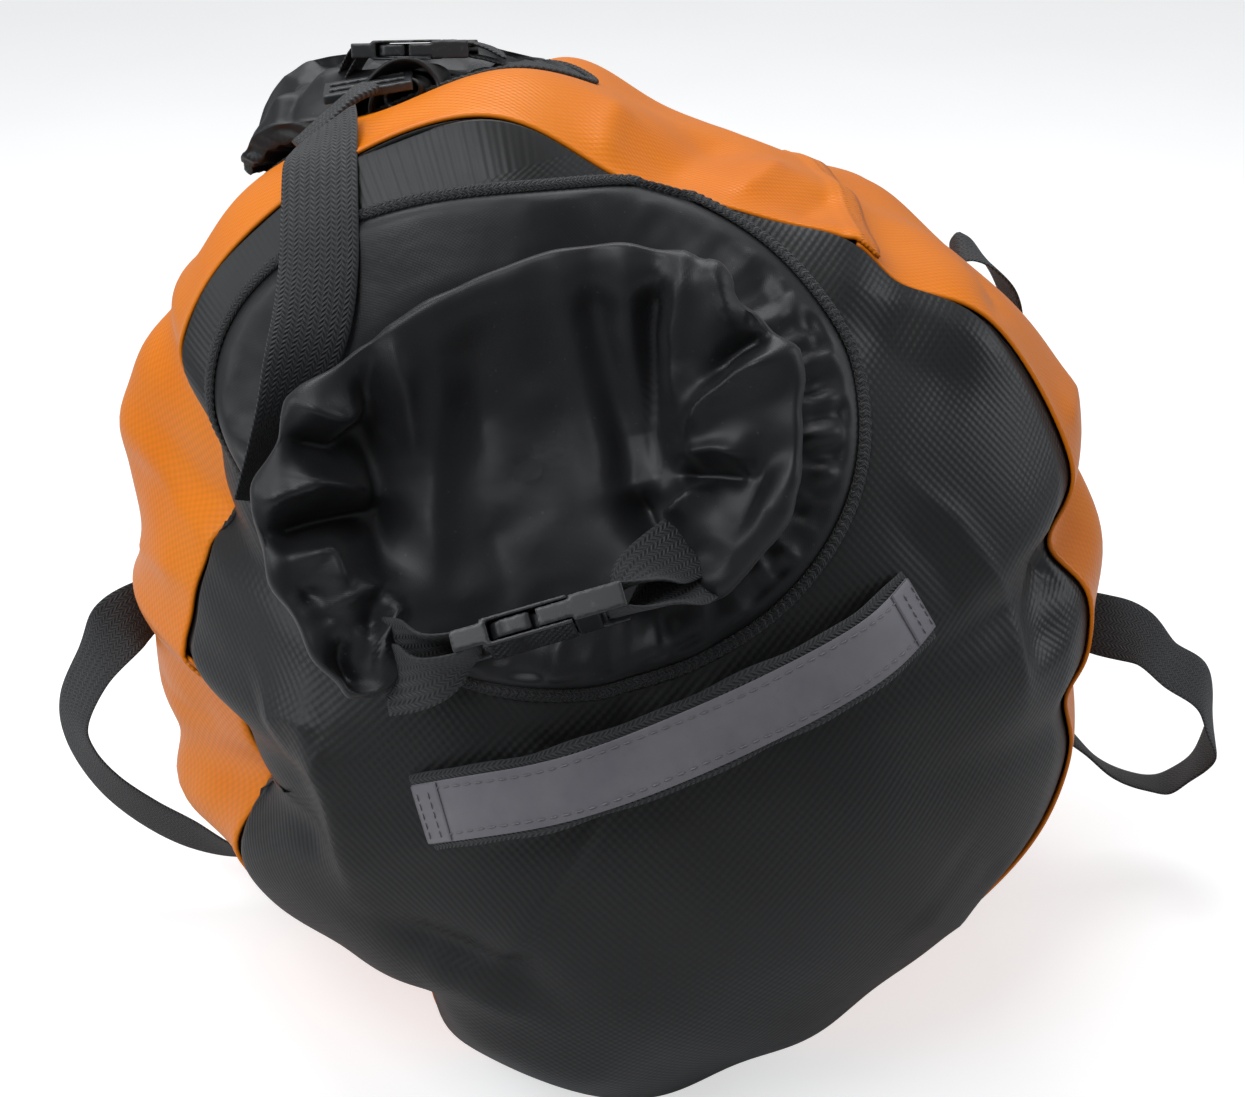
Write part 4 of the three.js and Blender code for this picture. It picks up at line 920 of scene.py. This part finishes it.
def front_collar():
    columns = 300
    crest = closed_curve(FRONT_CREST, columns)
    x, y, d = crest.T
    turn = np.arctan2(y / 60, x / 85)
    base = FRONT.world(x, y, 0)
    oval = np.arctan2((base[:, 2] - SEAM_Z) / SEAM_HALF_Z, (base[:, 0] - SEAM_X) / SEAM_HALF_X)

    def on_seam(share, lift):
        seam_x = SEAM_X + share * SEAM_HALF_X * np.cos(oval)
        seam_z = SEAM_Z + share * SEAM_HALF_Z * np.sin(oval)
        return on_dome(seam_x, seam_z, lift)

    top = smooth((np.sin(turn) - 0.25) / 0.5)
    sink = -9 * top
    near = ((crest + eased(crest, 500, True)) / 2).T
    soft = eased(crest, 500, True).T
    rings = [
        on_seam(0.985, 0.6),
        on_seam(0.95, 2.6),
        on_seam(0.89, 4.2 - 1.5 * top),
        (on_seam(0.82, 3.5) + over_panel(x * 0.97, y * 0.97, 4)) / 2 + FRONT.d * (0.5 * sink)[:, None],
        over_panel(x * 0.93, y * 0.93, 5) + FRONT.d * sink[:, None],
        FRONT.world(x * 0.985, y * 0.985, d * 0.42),
        FRONT.world(x * 1.015, y * 1.015, d * 0.74),
        FRONT.world(x, y, d * 0.97),
        FRONT.world(x * 0.95, y * 0.945, d * 1.0),
        FRONT.world(near[0] * 0.86, near[1] * 0.85, FRONT_FLOOR + (near[2] - FRONT_FLOOR) * 0.86),
        FRONT.world(soft[0] * 0.71, soft[1] * 0.7, FRONT_FLOOR + (soft[2] - FRONT_FLOOR) * 0.5),
        FRONT.world(soft[0] * 0.51, soft[1] * 0.51, FRONT_FLOOR + (soft[2] - FRONT_FLOOR) * 0.2),
        FRONT.world(soft[0] * 0.29, soft[1] * 0.29, FRONT_FLOOR + (soft[2] - FRONT_FLOOR) * 0.05),
        FRONT.world(soft[0] * 0.06, soft[1] * 0.06, FRONT_FLOOR),
    ]
    counts = [4, 6, 7, 6, 8, 7, 6, 5, 7, 9, 10, 10, 8]
    points = loft(rings, counts)
    row = np.arange(len(points))[:, None] * np.ones(columns)
    marks = np.concatenate([[0], np.cumsum(counts)])
    face = smooth((row - marks[5]) / (marks[7] - marks[5]))
    hung = smooth((row - marks[1]) / 4) * smooth((marks[5] + 4 - row) / 8)
    u, v, _ = FRONT.local(points)
    normals = grid_normals(points, marks[10], FRONT.d)
    side = np.clip(np.cos(turn), 0, 1) ** 0.5 + 0.55 * np.clip(-np.cos(turn), 0, 1) ** 0.5
    low = np.clip(-np.sin(turn), 0, 1)
    much = np.maximum(side * (1 - 0.85 * top), 0.5 * low)
    drift = turn + 0.05 * np.sin(row / 5.0)
    pleats = 1.3 * gathers(drift) * much * hung
    pleats = pleats + 1.5 * ripple(u, v, 19, waves=16, shortest=9, longest=30) * much * hung
    folds = 1.35 * creases(u, v, FRONT_HOOD_FOLDS) * face
    lobes = smooth((np.hypot(u / 82, v / 56) - 0.55) / 0.3) * (1 - 0.8 * smooth((v - 30) / 16))
    crumple = (0.3 + 0.7 * lobes) * ripple(u, v, 41, waves=14, shortest=9, longest=26) * face
    seam = creases(u, v, [(1.6, 1.8, 1.6, [(-58, 60), (-54, 46), (-46, 28)])]) * hung
    offset = (pleats + folds + crumple + seam) * smooth(row / 3) * smooth((len(points) - 1 - row) / 12)
    points = points + normals * offset[..., None]
    return closed_cloth("front_collar_cloth", points, FRONT.world(0, 0, FRONT_FLOOR))


collar = front_collar()
bend(collar, "root", "front_collar", FRONT.world(0, 0, -6), FRONT.world(0, 0, 26), "collar_nylon",
     "front_collar_hood", "front_collar_skirt")


def pinched_tape(name, line, normals, width, height, pitch):
    """Folded tape sewn down with close stitches, which pinch it at every pitch. The line is closed."""
    run = run_lengths(np.vstack([line, line[:1]]))
    along = unit(np.roll(line, -1, 0) - np.roll(line, 1, 0))
    side = np.cross(along, normals)
    pinch = np.abs(np.sin(PI * run[:-1] / pitch)) ** 0.6
    turn = np.linspace(0, 2 * PI, 13)[:-1]
    u = np.cos(turn)[None] * (width / 2) * (0.86 + 0.14 * pinch[:, None])
    v = np.sin(turn)[None] * (height / 2) * (0.55 + 0.45 * pinch[:, None])
    lean = 0.35 * np.sin(2 * PI * run[:-1] / pitch)[:, None] * np.sin(turn)[None]
    points = line[:, None] + side[:, None] * (u + lean)[..., None] + normals[:, None] * v[..., None]
    points = np.concatenate([points, points[:1]])
    rows, columns = points.shape[:2]
    faces = grid_faces(rows, columns, True)
    uv = np.stack(np.meshgrid(np.linspace(0, 2.4 * width, columns + 1), run), -1)
    obj = mesh_object(name, points.reshape(-1, 3), faces, BINDING, grid_uv(uv, rows, columns, True))
    weld_seam(obj)
    return obj


def weld_seam(obj):
    """Joins the doubled points where a closed strip meets itself."""
    work = bmesh.new()
    work.from_mesh(obj.data)
    bmesh.ops.remove_doubles(work, verts=work.verts, dist=0.00001)
    work.to_mesh(obj.data)
    work.free()


def front_binding():
    oval = np.linspace(0, 2 * PI, 1400)[:-1]
    x, z = SEAM_X + SEAM_HALF_X * np.cos(oval), SEAM_Z + SEAM_HALF_Z * np.sin(oval)
    line, normals = on_dome(x, z, 1.2), dome_normal(x, z)
    return pinched_tape("front_seam_tape", line, normals, 4.2, 2.2, 2.7)


give(front_binding(), "root", "black_webbing", "front_seam_binding")


# ---------- small collar ----------
TOP_SEAM_X, TOP_SEAM_Y = 69.0, 42.0
# The crest of the small roll, round from its right end: across, up, out.
TOP_CREST = [
    (61, 0, -3), (50, 8, 9), (36, 10, 19), (22, 11, 27), (8, 12, 28), (-8, 12, 35), (-25, 10, 40),
    (-41, 6, 37), (-52, 0, 28), (-57, -8, 19), (-59, -20, 13), (-54, -31, 15), (-43, -37, 19),
    (-28, -38, 16), (-12, -35, 10), (4, -32, 5.5), (20, -30, 2), (38, -24, -1), (53, -12, -5),
]
TOP_HOOD_FOLDS = [
    (-4, 6, 1.4, [(-62, -10), (-46, -15), (-28, -18)]),
    (3.5, 6, 1.3, [(-55, -27), (-42, -24), (-28, -28)]),
    (-3, 4, 1.4, [(-36, -40), (-30, -28), (-24, -18)]),
    (2.4, 5, 1.3, [(-44, 12), (-34, 2), (-30, -10)]),
    (-2.4, 5, 1.4, [(-28, 16), (-20, 4), (-18, -12)]),
    (2.2, 5, 1.4, [(-8, 17), (-4, 4), (-6, -10)]),
    (2.6, 4, 1.3, [(24, 12), (30, 2), (28, -12)]),
    (-2.6, 4, 1.4, [(38, 12), (42, 0), (38, -16)]),
]


def above_wall(point):
    """How far points stand off the wall, measured out from the drum's axis."""
    angle = np.degrees(np.arctan2(point[..., 2] - AXIS_HEIGHT, point[..., 0]))
    near, far = np.zeros(angle.shape), np.ones(angle.shape)
    for _ in range(18):
        middle = (near + far) / 2
        before = wall_point(angle, middle)[..., 1] < point[..., 1]
        near = np.where(before, middle, near)
        far = np.where(before, far, middle)
    surface = wall_point(angle, near)
    reach = np.hypot(point[..., 0], point[..., 2] - AXIS_HEIGHT)
    return reach - np.hypot(surface[..., 0], surface[..., 2] - AXIS_HEIGHT)


def on_top_wall(x, y, proud):
    """Points of the small collar's plane moved along its normal on to the wall."""
    point = TOP.world(x, y, 0)
    for _ in range(14):
        point = point - above_wall(point)[..., None] * TOP.d
    return point + np.asarray(proud, float)[..., None] * TOP.d


def top_collar():
    columns = 200
    crest = closed_curve(TOP_CREST, columns)
    x, y, d = crest.T
    turn = np.arctan2(y / TOP_SEAM_Y, x / TOP_SEAM_X)

    def on_seam(share, lift):
        lift = np.broadcast_to(lift, turn.shape)
        return on_top_wall(share * TOP_SEAM_X * np.cos(turn), share * TOP_SEAM_Y * np.sin(turn), lift)

    floor = np.clip(18 - 0.4 * (x * 0.7 - 16), 3, 30)  # the roll's back, just under the buckle
    rings = [
        on_seam(0.985, 0.5),
        on_seam(0.94, 2.2),
        on_seam(0.86, 3.6),
        on_top_wall(x * 0.93, y * 0.93, np.full(columns, 5.5)),
        TOP.world(x * 0.99, y * 0.99, d * 0.5 + 1.5),
        TOP.world(x * 1.01, y * 1.01, d * 0.8 + 1),
        TOP.world(x, y, d),
        TOP.world(x * 0.93, y * 0.92, d),
        TOP.world(x * 0.8, y * 0.78 - 2, floor + (d - floor) * 0.6),
        TOP.world(x * 0.6, y * 0.56 - 5, floor + (d - floor) * 0.15),
        TOP.world(x * 0.35, y * 0.32 - 9, np.clip(24 - 0.14 * x, 8, 30)),
        TOP.world(x * 0.08, y * 0.08 - 12, np.full(columns, 23.0)),
    ]
    counts = [3, 4, 4, 5, 5, 5, 4, 6, 7, 7, 7]
    points = loft(rings, counts)
    marks = np.concatenate([[0], np.cumsum(counts)])
    row = np.arange(len(points))[:, None] * np.ones(columns)
    u, v, _ = TOP.local(points)
    face = smooth((row - marks[4]) / (marks[6] - marks[4]))
    hung = smooth((row - marks[1]) / 3) * smooth((marks[6] - row) / 6)
    normals = grid_normals(points, marks[9], TOP.d)
    pleats = (0.7 - 0.4 * np.cos(turn)) * gathers(turn + 0.04 * np.sin(row / 3)) * hung
    offset = creases(u, v, TOP_HOOD_FOLDS) * face + pleats
    offset = offset + 0.8 * ripple(u, v, 57, waves=12, shortest=8, longest=24) * face
    points = points + normals * (offset * smooth(row / 3))[..., None]
    obj = closed_cloth("top_collar_cloth", points, TOP.world(0, -12, 23))
    bend(obj, "root", "top_collar", TOP.world(0, 0, 8), TOP.world(0, 0, 24), "collar_nylon",
         "top_collar_hood", "top_collar_skirt")


def roll_end():
    """The rolled cloth seen end on: two and a half turns that spread into a flattened spiral."""
    turns, deep = 2.4, 26.0
    share = np.linspace(0, 1, 150)[:, None]
    back = np.linspace(0, 1, 16)[None, :]
    turn = 2 * PI * turns * share + 0.6
    reach = 2.5 + 12.0 * share + 0.9 * np.sin(3.3 * turn + 2 * back) * share
    wide = 9 + 1.25 * reach * np.cos(turn)
    high = 9 + 0.86 * reach * np.sin(turn) + 0.5 * np.sin(9 * share + 5 * back)
    ragged = 1.6 * np.sin(7 * share * turns) + 1.2 * np.sin(17 * share * turns + 1)
    y = -47 + ragged * (1 - back) + deep * back + 3 * share
    points = TOP.world(wide, y, high)
    around = np.cumsum(reach[:, 0] * 2 * PI * turns / 150)[:, None]
    uv = np.stack(np.broadcast_arrays(around, deep * back), -1)
    obj = sheet("top_roll_end", points, NYLON, uv, thickness=1.3)
    give(obj, "top_collar", "collar_nylon")


def top_binding():
    oval = np.linspace(0, 2 * PI, 900)[:-1]
    x, y = TOP_SEAM_X * np.cos(oval), TOP_SEAM_Y * np.sin(oval)
    line = eased(on_top_wall(x, y, np.full(len(oval), 1.6)), 200, True)
    around = unit(np.roll(line, -1, 0) - np.roll(line, 1, 0))
    inner = on_top_wall(x * 0.97, y * 0.97, np.full(len(oval), 1.6))
    normals = unit(np.cross(around, unit(inner - line)))
    normals = unit(eased(normals * np.sign((normals @ TOP.d).mean()), 400, True))
    tape = pinched_tape("top_seam_tape", line, normals, 4.0, 2.2, 2.7)
    give(tape, "root", "black_webbing", "top_seam_binding")


def cut_top_hole():
    """Opens the wall under the small collar."""
    mesh = bpy.data.objects["wall_top_cloth"].data
    work = bmesh.new()
    work.from_mesh(mesh)
    inside = []
    for face in work.faces:
        x, y, d = TOP.local(np.array(face.calc_center_median()) / MM)
        if (x / TOP_SEAM_X) ** 2 + (y / TOP_SEAM_Y) ** 2 < 0.97 and abs(d) < 45:
            inside.append(face)
    bmesh.ops.delete(work, geom=inside, context="FACES")
    work.to_mesh(mesh)
    work.free()


top_collar()
roll_end()
top_binding()
cut_top_hole()


# ---------- moulded hardware ----------
MOULD_VOXEL = 0.45
MOULD_PASSES = 8  # smoothing passes for each millimetre of an edge's radius


def moulded(node, body, radius):
    """A moulded piece in the CAD node's shape with rounded edges."""
    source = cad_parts[node]
    work = bmesh.new()
    work.from_mesh(source.data)
    bmesh.ops.transform(work, matrix=source.matrix_world, verts=work.verts)
    bmesh.ops.remove_doubles(work, verts=work.verts, dist=0.01 * MM)
    bmesh.ops.dissolve_limit(work, angle_limit=math.radians(3), verts=work.verts, edges=work.edges)
    mesh = bpy.data.meshes.new(node + "_moulded")
    work.to_mesh(mesh)
    work.free()
    mesh.materials.append(PLASTIC)
    obj = link(bpy.data.objects.new(node + "_moulded", mesh))
    skin = obj.modifiers.new("skin", "REMESH")
    skin.mode, skin.voxel_size, skin.use_smooth_shade = "VOXEL", MOULD_VOXEL * MM, True
    rounding = obj.modifiers.new("rounding", "SMOOTH")
    rounding.factor, rounding.iterations = 0.5, int(radius * MOULD_PASSES)
    return give(obj, body, "black_plastic", node)


def tilted(plane, place, about_x, about_y):
    """A frame inside another one, turned about its x and then its own y."""
    a, b = math.radians(about_x), math.radians(about_y)
    up = plane.y * math.cos(a) + plane.d * math.sin(a)
    out = plane.d * math.cos(a) - plane.y * math.sin(a)
    along = plane.x * math.cos(b) - out * math.sin(b)
    return Plane(plane.world(*place), along, up)


TOP_BUCKLE = tilted(TOP, (19, -19, 23.2), 4, 22)
for prefix, size in (("front", 0.86), ("top", 0.72)):
    moulded(prefix + "_buckle_female", prefix + "_collar", 0.9 * size)
    moulded(prefix + "_buckle_male", prefix + "_male", 0.7 * size)
    moulded(prefix + "_latch_a", prefix + "_latch_a", 1.3 * size)
    moulded(prefix + "_latch_b", prefix + "_latch_b", 1.3 * size)
moulded("strap_slider", "strap_slider", 0.7)


# ---------- webbing ----------
def strap(name, keys, plane=None, width=WEBBING, thickness=WEBBING_THICKNESS):
    """Webbing through keys of a place and the direction across it, in a plane's frame or the row's."""
    keys = np.asarray(keys, float)
    if plane:
        places = plane.world(keys[:, 0], keys[:, 1], keys[:, 2])
        across = keys[:, 3:4] * plane.x + keys[:, 4:5] * plane.y + keys[:, 5:6] * plane.d
        keys = np.hstack([places, across])
    path = catmull(keys, max(int(run_lengths(keys[:, :3])[-1] / 1.1), 20))
    return ribbon(name, path[:, :3], path[:, 3:], WEB, width, thickness)


FRONT_TAB, TOP_TAB = (21.5, 1.4), (18, 1.2)  # width and thickness of each buckle's webbing
FRONT_MALE_TAB = [
    (41, -35, 25, 0.43, -0.9, 0.1), (31, -38, 33, 0.4, -0.75, 0.45), (22, -41, 42.5, 0.1, -0.3, 0.95),
    (14.2, -43.7, 46.5, 0, 0.17, 0.985), (11.5, -46, 47, 0, 0.17, 0.985),
    (14.2, -48.3, 47.3, 0, 0.17, 0.985), (23, -49.5, 43.5, 0.1, -0.1, 0.98), (34, -46, 33, 0.4, -0.7, 0.5),
    (43, -41, 24, 0.43, -0.9, 0.1),
]
FRONT_FEMALE_TAB = [
    (-56, -41, 26, 0.3, 0.95, 0.1), (-46, -42.5, 34, 0.2, 0.75, 0.6), (-37, -43.5, 43.5, 0.05, 0.4, 0.92),
    (-29.2, -43.7, 46.6, 0, 0.17, 0.985), (-26.2, -46, 47, 0, 0.17, 0.985),
    (-29.2, -48.3, 47.3, 0, 0.17, 0.985), (-38, -49.5, 43.5, 0.1, 0.35, 0.93),
    (-48, -50, 34, 0.2, 0.8, 0.55), (-57, -49, 25, 0.3, 0.95, 0.1),
]
TOP_MALE_TAB = [
    (27, 4, -5, 0, 1, 0), (21.5, 2, -3.4, 0, 1, 0), (15.6, 0, -1.9, 0, 1, 0), (12.4, 0, 0, 0, 1, 0),
    (15.6, 0, 1.9, 0, 1, 0), (21.5, 2, 0.6, 0, 1, 0), (28, 4, -2.6, 0, 1, 0),
]
TOP_FEMALE_TAB = [
    (-31, 2, -15, 0, 1, 0), (-27, 1, -8, 0, 1, 0), (-22.4, 0, -1.9, 0, 1, 0), (-19.3, 0, 0, 0, 1, 0),
    (-22.4, 0, 1.9, 0, 1, 0), (-27, 1, -2, 0, 1, 0), (-33, 2, -13, 0, 1, 0),
]
for name, keys, plane, webbing_size, body in (
    ("front_male", FRONT_MALE_TAB, FRONT, FRONT_TAB, "front_male"),
    ("front_female", FRONT_FEMALE_TAB, FRONT, FRONT_TAB, "front_collar"),
    ("top_male", TOP_MALE_TAB, TOP_BUCKLE, TOP_TAB, "top_male"),
    ("top_female", TOP_FEMALE_TAB, TOP_BUCKLE, TOP_TAB, "top_collar"),
):
    give(strap(name + "_webbing", keys, plane, *webbing_size), body, "black_webbing", name + "_tab")

LEFT_LOOP = [
    (-187, 40, 132.5, 0, 0, 1), (-190, 20, 130, 0, 0.1, 1), (-200, 10, 125, -0.35, 0.35, 1),
    (-212, 6, 109, -0.6, 0.75, 0.3), (-223, 6, 87, -0.65, 0.75, 0.05), (-222, 5, 70, -0.65, 0.65, -0.3),
    (-212, 3, 53, -0.5, 0.5, -0.65), (-196, 0, 40, -0.35, 0.4, -0.8), (-178, -5, 33, -0.15, 0.4, -0.88),
    (-160, -9, 28, 0, 0.65, -0.75), (-144, -9, 27, 0, 0.9, -0.4), (-131, -8, 28, 0, 1, 0),
    (-120, -4, 22.5, 0, 1, 0),
]
RIGHT_LOOP = [
    (172, 40, 126.5, 0, 0, 1), (176, 22, 124, 0, 0, 1), (192, 17, 121.5, 0.2, 0.3, 1),
    (210, 18, 115, 0.3, 0.75, 0.6), (223, 16, 103, 0.3, 0.85, 0.35), (237, 16, 93, 0.35, 0.85, 0.3),
    (243, 16, 78, 0.35, 0.93, 0), (246, 18, 64, 0.1, 1, 0), (240, 20, 49, 0.2, 0.93, -0.25),
    (231, 22, 40, 0, 0.93, -0.3), (219, 24, 40, -0.05, 0.95, -0.28), (205, 24, 47, -0.1, 0.95, -0.2),
    (192, 24, 60, -0.1, 1, -0.1), (178, 23, 74, 0, 1, 0), (168, 22, 87, 0, 1, 0), (167.5, 22, 97, 0, 1, 0),
]
REAR_LOOP = [
    (137.5, 101.5, 244.2, 0, 1, 0), (136.8, 100.5, 248.6, 0, 1, 0), (138.6, 99.5, 251.6, -0.1, 1, 0.1),
    (143, 99, 250.8, -0.2, 1, 0.2), (149.5, 98, 246, -0.25, 1, 0.1), (156.5, 97, 238, -0.25, 1, 0),
    (160.5, 96, 229.5, -0.2, 1, 0), (162, 96, 220, -0.1, 1, 0), (158.5, 97.5, 211, 0, 1, 0),
    (154.5, 99, 202, 0, 1, 0),
]
bend(strap("left_loop_webbing", LEFT_LOOP), "root", "left_loop", (-176, 6, 87), (-188, 6, 80),
     "black_webbing", "left_loop")
bend(strap("right_loop_webbing", RIGHT_LOOP), "root", "right_loop", (175, 20, 105), (190, 20, 103),
     "black_webbing", "right_loop")
bend(strap("rear_loop_webbing", REAR_LOOP), "root", "rear_loop", (143, 98, 237), (150, 98, 241),
     "black_webbing", "rear_loop")

# The strap comes off the slider as a narrow fold, turns over it and hangs in front of the drum.
STRAP = [
    (-99, -12, 331, 0.82, -0.15, 0.55), (-98, -24, 330.5, 0.9, -0.1, 0.4), (-97.5, -38, 327, 0.97, 0, 0.2),
    (-96.5, -52, 316, 1, 0, 0.1), (-96, -65, 301, 1, 0.15, 0.05), (-98, -77, 285, 0.9, 0.42, 0),
    (-104, -88, 269, 0.66, 0.75, 0), (-111, -97, 254, 0.4, 0.92, 0), (-118, -105, 238, 0.22, 0.98, 0),
]
STRAP_FOLD = [
    (-86, 8, 339.5, 0, 1, 0.1), (-92, 3, 337, 0, 1, 0.1), (-100, -3, 331, 0, 1, 0.2),
    (-109, -9, 323.5, 0, 1, 0.3),
]
STRAP_ROOT, STRAP_FREE = (-90, 4, 338), (-92, -16, 334)
bend(strap("strap_webbing", STRAP), "strap_slider", "strap_tail", STRAP_ROOT, STRAP_FREE,
     "black_webbing", "strap_tail")
bend(strap("strap_fold", STRAP_FOLD, width=12, thickness=3.2), "strap_slider", "strap_tail", STRAP_ROOT,
     STRAP_FREE, "black_webbing")


# ---------- grab handle ----------
HANDLE_KEYS = [(-62, 150), (-45, 157), (-20, 165), (5, 174), (35, 185), (64, 194), (80, 199), (93, 205)]
HANDLE_BOW = 13.0
TAPE_WIDTH = 19.5


def handle_line(proud, count=190):
    keys = np.array(HANDLE_KEYS, float)
    share = np.linspace(0, 1, len(keys))
    bow = HANDLE_BOW * np.sin(PI * share) ** 0.8
    line = eased(catmull(on_dome(keys[:, 0], keys[:, 1], proud + bow), count), 160)
    normals = unit(eased(dome_normal(line[:, 0], line[:, 2]), 300))
    along = unit(np.gradient(line, axis=0))
    across = unit(np.cross(normals, along))
    return line, unit(np.cross(along, across)), across


def handle():
    line, normals, across = handle_line(1.3)
    along = np.linspace(0, 1, len(line))
    wobble = 0.35 * np.sin(along * 23) + 0.25 * np.sin(along * 41 + 1)
    webbing = ribbon("handle_webbing", line + across * wobble[:, None], across, WEB)
    give(webbing, "handle", "black_webbing", "front_handle")
    if (normals[0] @ dome_normal(line[:1, 0], line[:1, 2])[0]) < 0:
        normals = -normals
    tape_line = line + normals * 1.25 - across * (0.9 * np.sin(along * PI))[:, None]
    tape = ribbon("handle_tape", tape_line, across, TAPE, TAPE_WIDTH, 0.5)
    give(tape, "handle", "reflective_tape", "handle_reflector")
    rows = []
    for side in (-1, 1):
        drift = 0.3 * np.sin(along * 17 + side)
        row = tape_line + across * (side * 7.3 + drift)[:, None] + normals * 0.28
        rows += stitches(row, normals, 3.1, 1.0, 0.3)
    for end, places in ((0, (1.6, 6.4)), (1, (1.8, 6.2))):
        run = run_lengths(line)
        for place in places:
            at = place if end == 0 else run[-1] - place
            k = int(np.searchsorted(run, at))
            width = np.linspace(-TAPE_WIDTH / 2 + 1.4, TAPE_WIDTH / 2 - 1.4, 30)[:, None]
            row = tape_line[k] + across[k] * width + normals[k] * 0.85
            rows += stitches(row, np.repeat(normals[k:k + 1], 30, 0), 2.3, 0.8, 0.3)
    give(thread(rows, 0.24, "handle_stitches", GREY_THREAD), "handle", "reflective_tape")
    for end in (slice(0, 12), slice(-12, None)):
        raised = tape_line[end] + normals[end] * 0.5
        patch = ribbon("handle_tape_end", raised, across[end], TAPE, TAPE_WIDTH - 0.6, 0.5)
        give(patch, "handle", "reflective_tape")


handle()


# ---------- pieces that stay inside ----------
def mouth_strip(name, plane, crest, share, height, first, last, body, node):
    """The stiff strip inside a roll, from one place round the crest to another."""
    line = closed_curve(crest, 240)[first:last]
    d = np.minimum(line[:, 2] * 0.55, height)
    middle = plane.world(line[:, 0] * share, line[:, 1] * share, d)
    across = np.repeat(plane.d[None], len(middle), 0)
    obj = ribbon(name, middle, across, WEB, height * 0.5)
    give(obj, body, "black_webbing", node)


def cover(node, material):
    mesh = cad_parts[node].data
    mesh.materials.clear()
    mesh.materials.append(material)


mouth_strip("front_stiffener", FRONT, FRONT_CREST, 0.93, 20, 4, 120, "front_collar", "front_mouth_strip")
mouth_strip("top_stiffener", TOP, TOP_CREST, 0.93, 12, 40, 110, "top_collar", "top_mouth_strip")
cover("rope_coil", ROPE_LOOK)
cover("foam_float", FOAM_LOOK)


# ---------- room, light and camera ----------
def area_light(name, place, target, width, height, power, colour):
    data = bpy.data.lights.new(name, "AREA")
    data.shape, data.size, data.size_y = "RECTANGLE", width, height
    data.energy, data.color = power, colour
    light = link(bpy.data.objects.new(name, data))
    light.location = place
    light.rotation_euler = (Vector(target) - Vector(place)).to_track_quat("-Z", "Y").to_euler()
    return light


SKY = 0.3
FLOOR_GLOW = 0.6  # lifts the floor towards white for the camera alone


def room():
    s = Shader("pale_floor")
    tone = s.range(s.noise(3, 2), 0.3, 0.7, 0.0, 1.0)
    seen = s.node("LightPath").outputs["Is Camera Ray"]
    s.set(
        Base_Color=s.colours(tone, (0.62, 0.62, 0.62), (0.66, 0.66, 0.66)),
        Roughness=0.8,
        Specular_IOR_Level=0.1,
        Emission_Color=(1, 1, 1, 1),
        Emission_Strength=s.math("MULTIPLY", seen, FLOOR_GLOW),
    )
    half = 6.0
    corners = np.array([(-half, -half, 0), (half, -half, 0), (half, half, 0), (-half, half, 0)]) / MM
    floor = mesh_object("floor", corners, [(0, 1, 2, 3)], s.material)
    world = bpy.data.worlds.new("studio")
    world.use_nodes = True
    sky = world.node_tree.nodes["Background"]
    sky.inputs[0].default_value = (0.93, 0.96, 1.0, 1)
    glow = world.node_tree.nodes.new("ShaderNodeMath")
    glow.operation = "MULTIPLY_ADD"
    glow.inputs[1].default_value, glow.inputs[2].default_value = FLOOR_GLOW, SKY
    seen = world.node_tree.nodes.new("ShaderNodeLightPath").outputs["Is Camera Ray"]
    world.node_tree.links.new(seen, glow.inputs[0])
    world.node_tree.links.new(glow.outputs[0], sky.inputs[1])
    bpy.context.scene.world = world
    middle = (0, 0, 0.17)
    area_light("overhead", (-0.15, 0.5, 1.25), middle, 1.1, 0.7, 10, (0.97, 0.98, 1.0))
    area_light("front_top", (-0.4, -0.6, 1.1), middle, 0.5, 0.5, 5, (0.96, 0.98, 1.0))
    area_light("window_left", (-1.2, -0.35, 0.75), middle, 0.5, 0.8, 4.5, (0.9, 0.95, 1.0))
    area_light("fill_right", (1.3, 0.1, 0.8), middle, 0.5, 0.8, 4, (0.9, 0.95, 1.0))


SENSOR, LENS, ELEVATION, DISTANCE = 36.0, 52.05, 28.0, 690


def camera():
    elevation, distance = math.radians(ELEVATION), DISTANCE * MM
    target = Vector((0, 0, AXIS_HEIGHT * MM))
    data = bpy.data.cameras.new("camera")
    data.sensor_width, data.lens = SENSOR, LENS
    data.clip_start, data.clip_end = 0.01, 50
    made = link(bpy.data.objects.new("camera", data))
    away = Vector((0, -math.cos(elevation), math.sin(elevation)))
    made.location = target + away * distance
    made.rotation_euler = (-away).to_track_quat("-Z", "Y").to_euler()
    bpy.context.scene.camera = made


room()
camera()
bpy.context.scene.view_settings.view_transform = "Standard"
